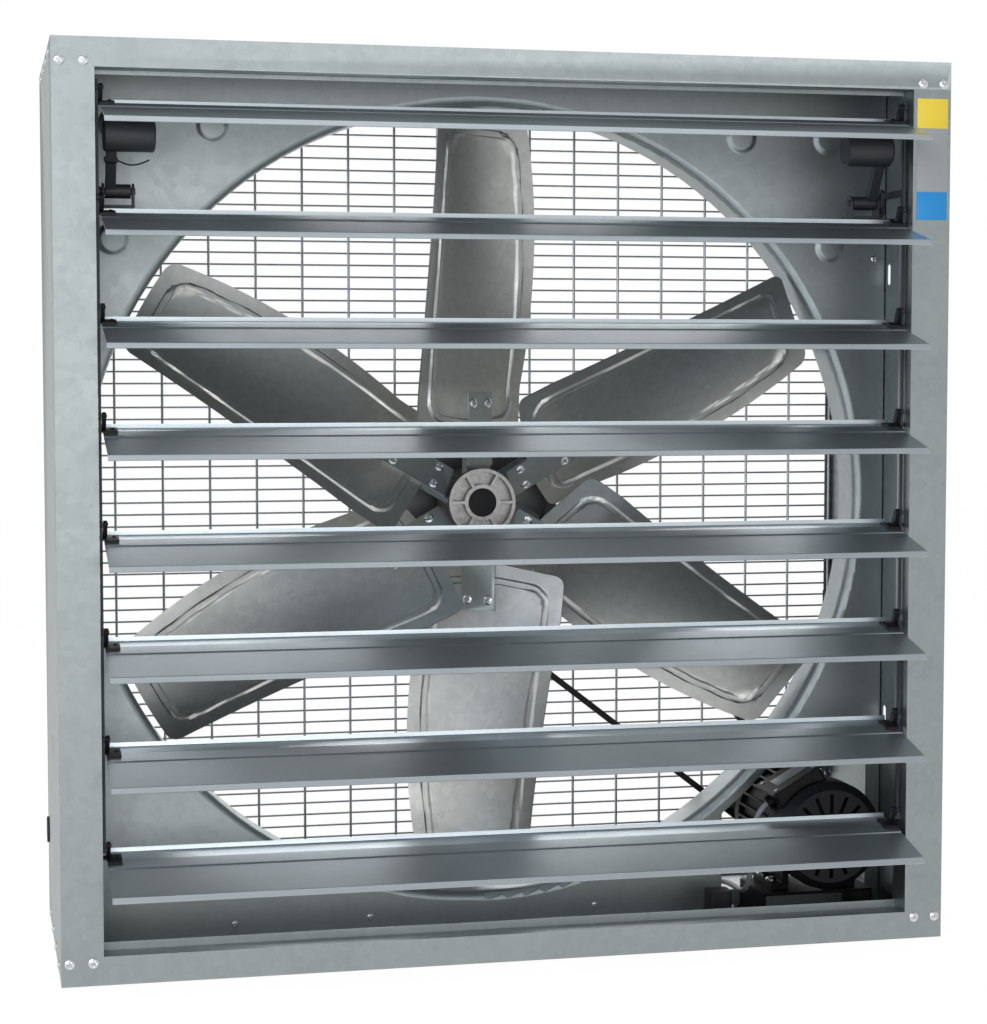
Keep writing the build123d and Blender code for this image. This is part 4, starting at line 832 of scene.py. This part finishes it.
# %% Film strip on the right stile
film_left, film_right = 505.5, 546.0
film_areas = [("yellow", 1018.5, 1055.0, label_yellow), ("grey", 940.5, 1018.0, label_grey),
              ("blue", 905.5, 940.0, label_blue)]
for name, bottom, top, material in film_areas:
    outline = ((film_left, bottom), (film_right, bottom), (film_right, top), (film_left, top))
    film_corners = [Vector((x, front_y - contact_gap, z)) for x, z in outline]
    slab(f"film_strip_{name}", film_corners, Vector(forward), 0.2, material, 0.05)
print("film areas:", len(film_areas))

# %% Tie on the left hammer arm
tie_middle = Vector((-479.0, -134.2, 966.0))
arm_line = Vector((0.0, -40.0, 63.0)).normalized()
arm_side = Vector((0.0, arm_line.z, -arm_line.y))


def tie_band(name, places, closed):
    # A thin nylon cord along a smooth line, as plain mesh.
    line = bpy.data.objects.new(name + "_line", round_cord(name, places, 0.9, 2, closed))
    bpy.context.collection.objects.link(line)
    mesh = mesh_as_seen(line)
    bpy.data.objects.remove(line)
    bake(place_piece(name, mesh, "hammer_left", clip_nylon))


loop_half_x, loop_half_y = 7.6, 8.2
loop = [tie_middle + Vector((a * loop_half_x, 0, 0)) + arm_side * b * loop_half_y
        for a, b in ((-1, -0.6), (-1, 0.6), (-0.6, 1), (0.6, 1), (1, 0.6), (1, -0.6), (0.6, -1), (-0.6, -1))]
tie_band("hammer_tie_loop", loop, True)
tail = [tie_middle + Vector(step) for step in ((7.4, -5.0, -1.0), (12.0, -10.0, -4.0), (22.0, -15.0, -7.5),
                                               (34.0, -18.0, -5.5), (43.0, -19.0, -1.0))]
tie_band("hammer_tie_tail", tail, False)
print("tie pieces: loop and tail")

# %% [markdown]
# ## Light, floor and backdrop
# The photograph is a studio cut-out: a white ground and large soft lights that draw broad soft bands on
# the metal. The world is white for the camera and for glass rays, and the floor glows for the camera and
# for mirror rays, so the lamps and a dim even world set how bright the object is. The ceiling of the
# studio is darker than its walls, so mirror rays that go up find grey.

# %% World
dim_world, dark_ceiling = 0.55, 0.55
world = bpy.data.worlds.new("studio")
bpy.context.scene.world = world
world.use_nodes = True
tree = world.node_tree
tree.nodes.clear()
rays = add(tree, "ShaderNodeLightPath").outputs
seen = add(tree, "ShaderNodeMath", {0: rays["Is Camera Ray"], 1: rays["Is Transmission Ray"]},
           operation="MAXIMUM").outputs["Value"]
direction = add(tree, "ShaderNodeTexCoord").outputs["Generated"]
rise = add(tree, "ShaderNodeSeparateXYZ", {"Vector": direction}).outputs["Z"]
mirrored = add(tree, "ShaderNodeMapRange", {"Value": rise, "From Min": 0.1, "From Max": 0.7, "To Min": 1.0,
                                            "To Max": dark_ceiling}).outputs["Result"]
level = add(tree, "ShaderNodeMix", {"Factor": rays["Is Glossy Ray"], "A": dim_world, "B": mirrored},
            data_type="FLOAT").outputs["Result"]
level = add(tree, "ShaderNodeMix", {"Factor": seen, "A": level, "B": 1.0},
            data_type="FLOAT").outputs["Result"]
walls = add(tree, "ShaderNodeBackground", {"Color": (1, 1, 1, 1), "Strength": level})
add(tree, "ShaderNodeOutputWorld", {"Surface": walls.outputs["Background"]})


# %% Lamps
def lamp(name, place, target, width, height, power, tint="#FFFFFF"):
    # A soft box in metres and watts that looks at its target.
    data = bpy.data.lights.new(name, "AREA")
    data.color = colour(tint)[:3]
    data.shape = "RECTANGLE"
    data.size, data.size_y = width, height
    data.energy = power
    light = bpy.data.objects.new(name, data)
    light.location = place
    light.rotation_euler = (Vector(target) - Vector(place)).to_track_quat("-Z", "Y").to_euler()
    bpy.context.collection.objects.link(light)


lamp("key_softbox", (-2.0, -3.4, 2.3), (0, 0, 0.6), 2.4, 1.8, 45)
lamp("left_softbox", (-3.2, -2.6, 1.3), (0, 0, 0.6), 1.8, 1.4, 40, "#DCE8FF")
lamp("front_softbox", (-0.4, -5.0, 0.8), (0, 0, 0.5), 3.2, 1.4, 34)
lamp("top_softbox", (0.0, -0.2, 3.2), (0, 0, 0.5), 2.4, 2.4, 9)
lamp("back_softbox", (0.6, 3.0, 1.4), (0, 0, 0.6), 2.4, 2.0, 26)
print("lamps:", len(bpy.data.lights))

# %% Floor
floor_reach, floor_glow, glow_share = 8.0, 1.03, 0.93
floor_corners = [(x * floor_reach, y * floor_reach, 0) for x, y in ((-1, -1), (1, -1), (1, 1), (-1, 1))]
floor_mesh = bpy.data.meshes.new("studio_floor")
floor_mesh.from_pydata(floor_corners, [], [(0, 1, 2, 3)])
floor = bpy.data.objects.new("studio_floor", floor_mesh)
bpy.context.collection.objects.link(floor)
paper, tree, shader, place = start_finish("studio_paper", "#F4F4F4", 0.0, 0.9)
floor_mesh.materials.append(paper)
rays = add(tree, "ShaderNodeLightPath").outputs
seen = add(tree, "ShaderNodeMath", {0: rays["Is Camera Ray"], 1: rays["Is Glossy Ray"]}, operation="MAXIMUM")
glow = add(tree, "ShaderNodeEmission", {"Color": (1, 1, 1, 1), "Strength": floor_glow}).outputs["Emission"]
share = add(tree, "ShaderNodeMath", {0: seen.outputs["Value"], 1: glow_share}, operation="MULTIPLY")
mixed = add(tree, "ShaderNodeMixShader", {0: share.outputs["Value"], 1: shader.outputs["BSDF"], 2: glow})
tree.links.new(mixed.outputs["Shader"], tree.nodes["Material Output"].inputs["Surface"])
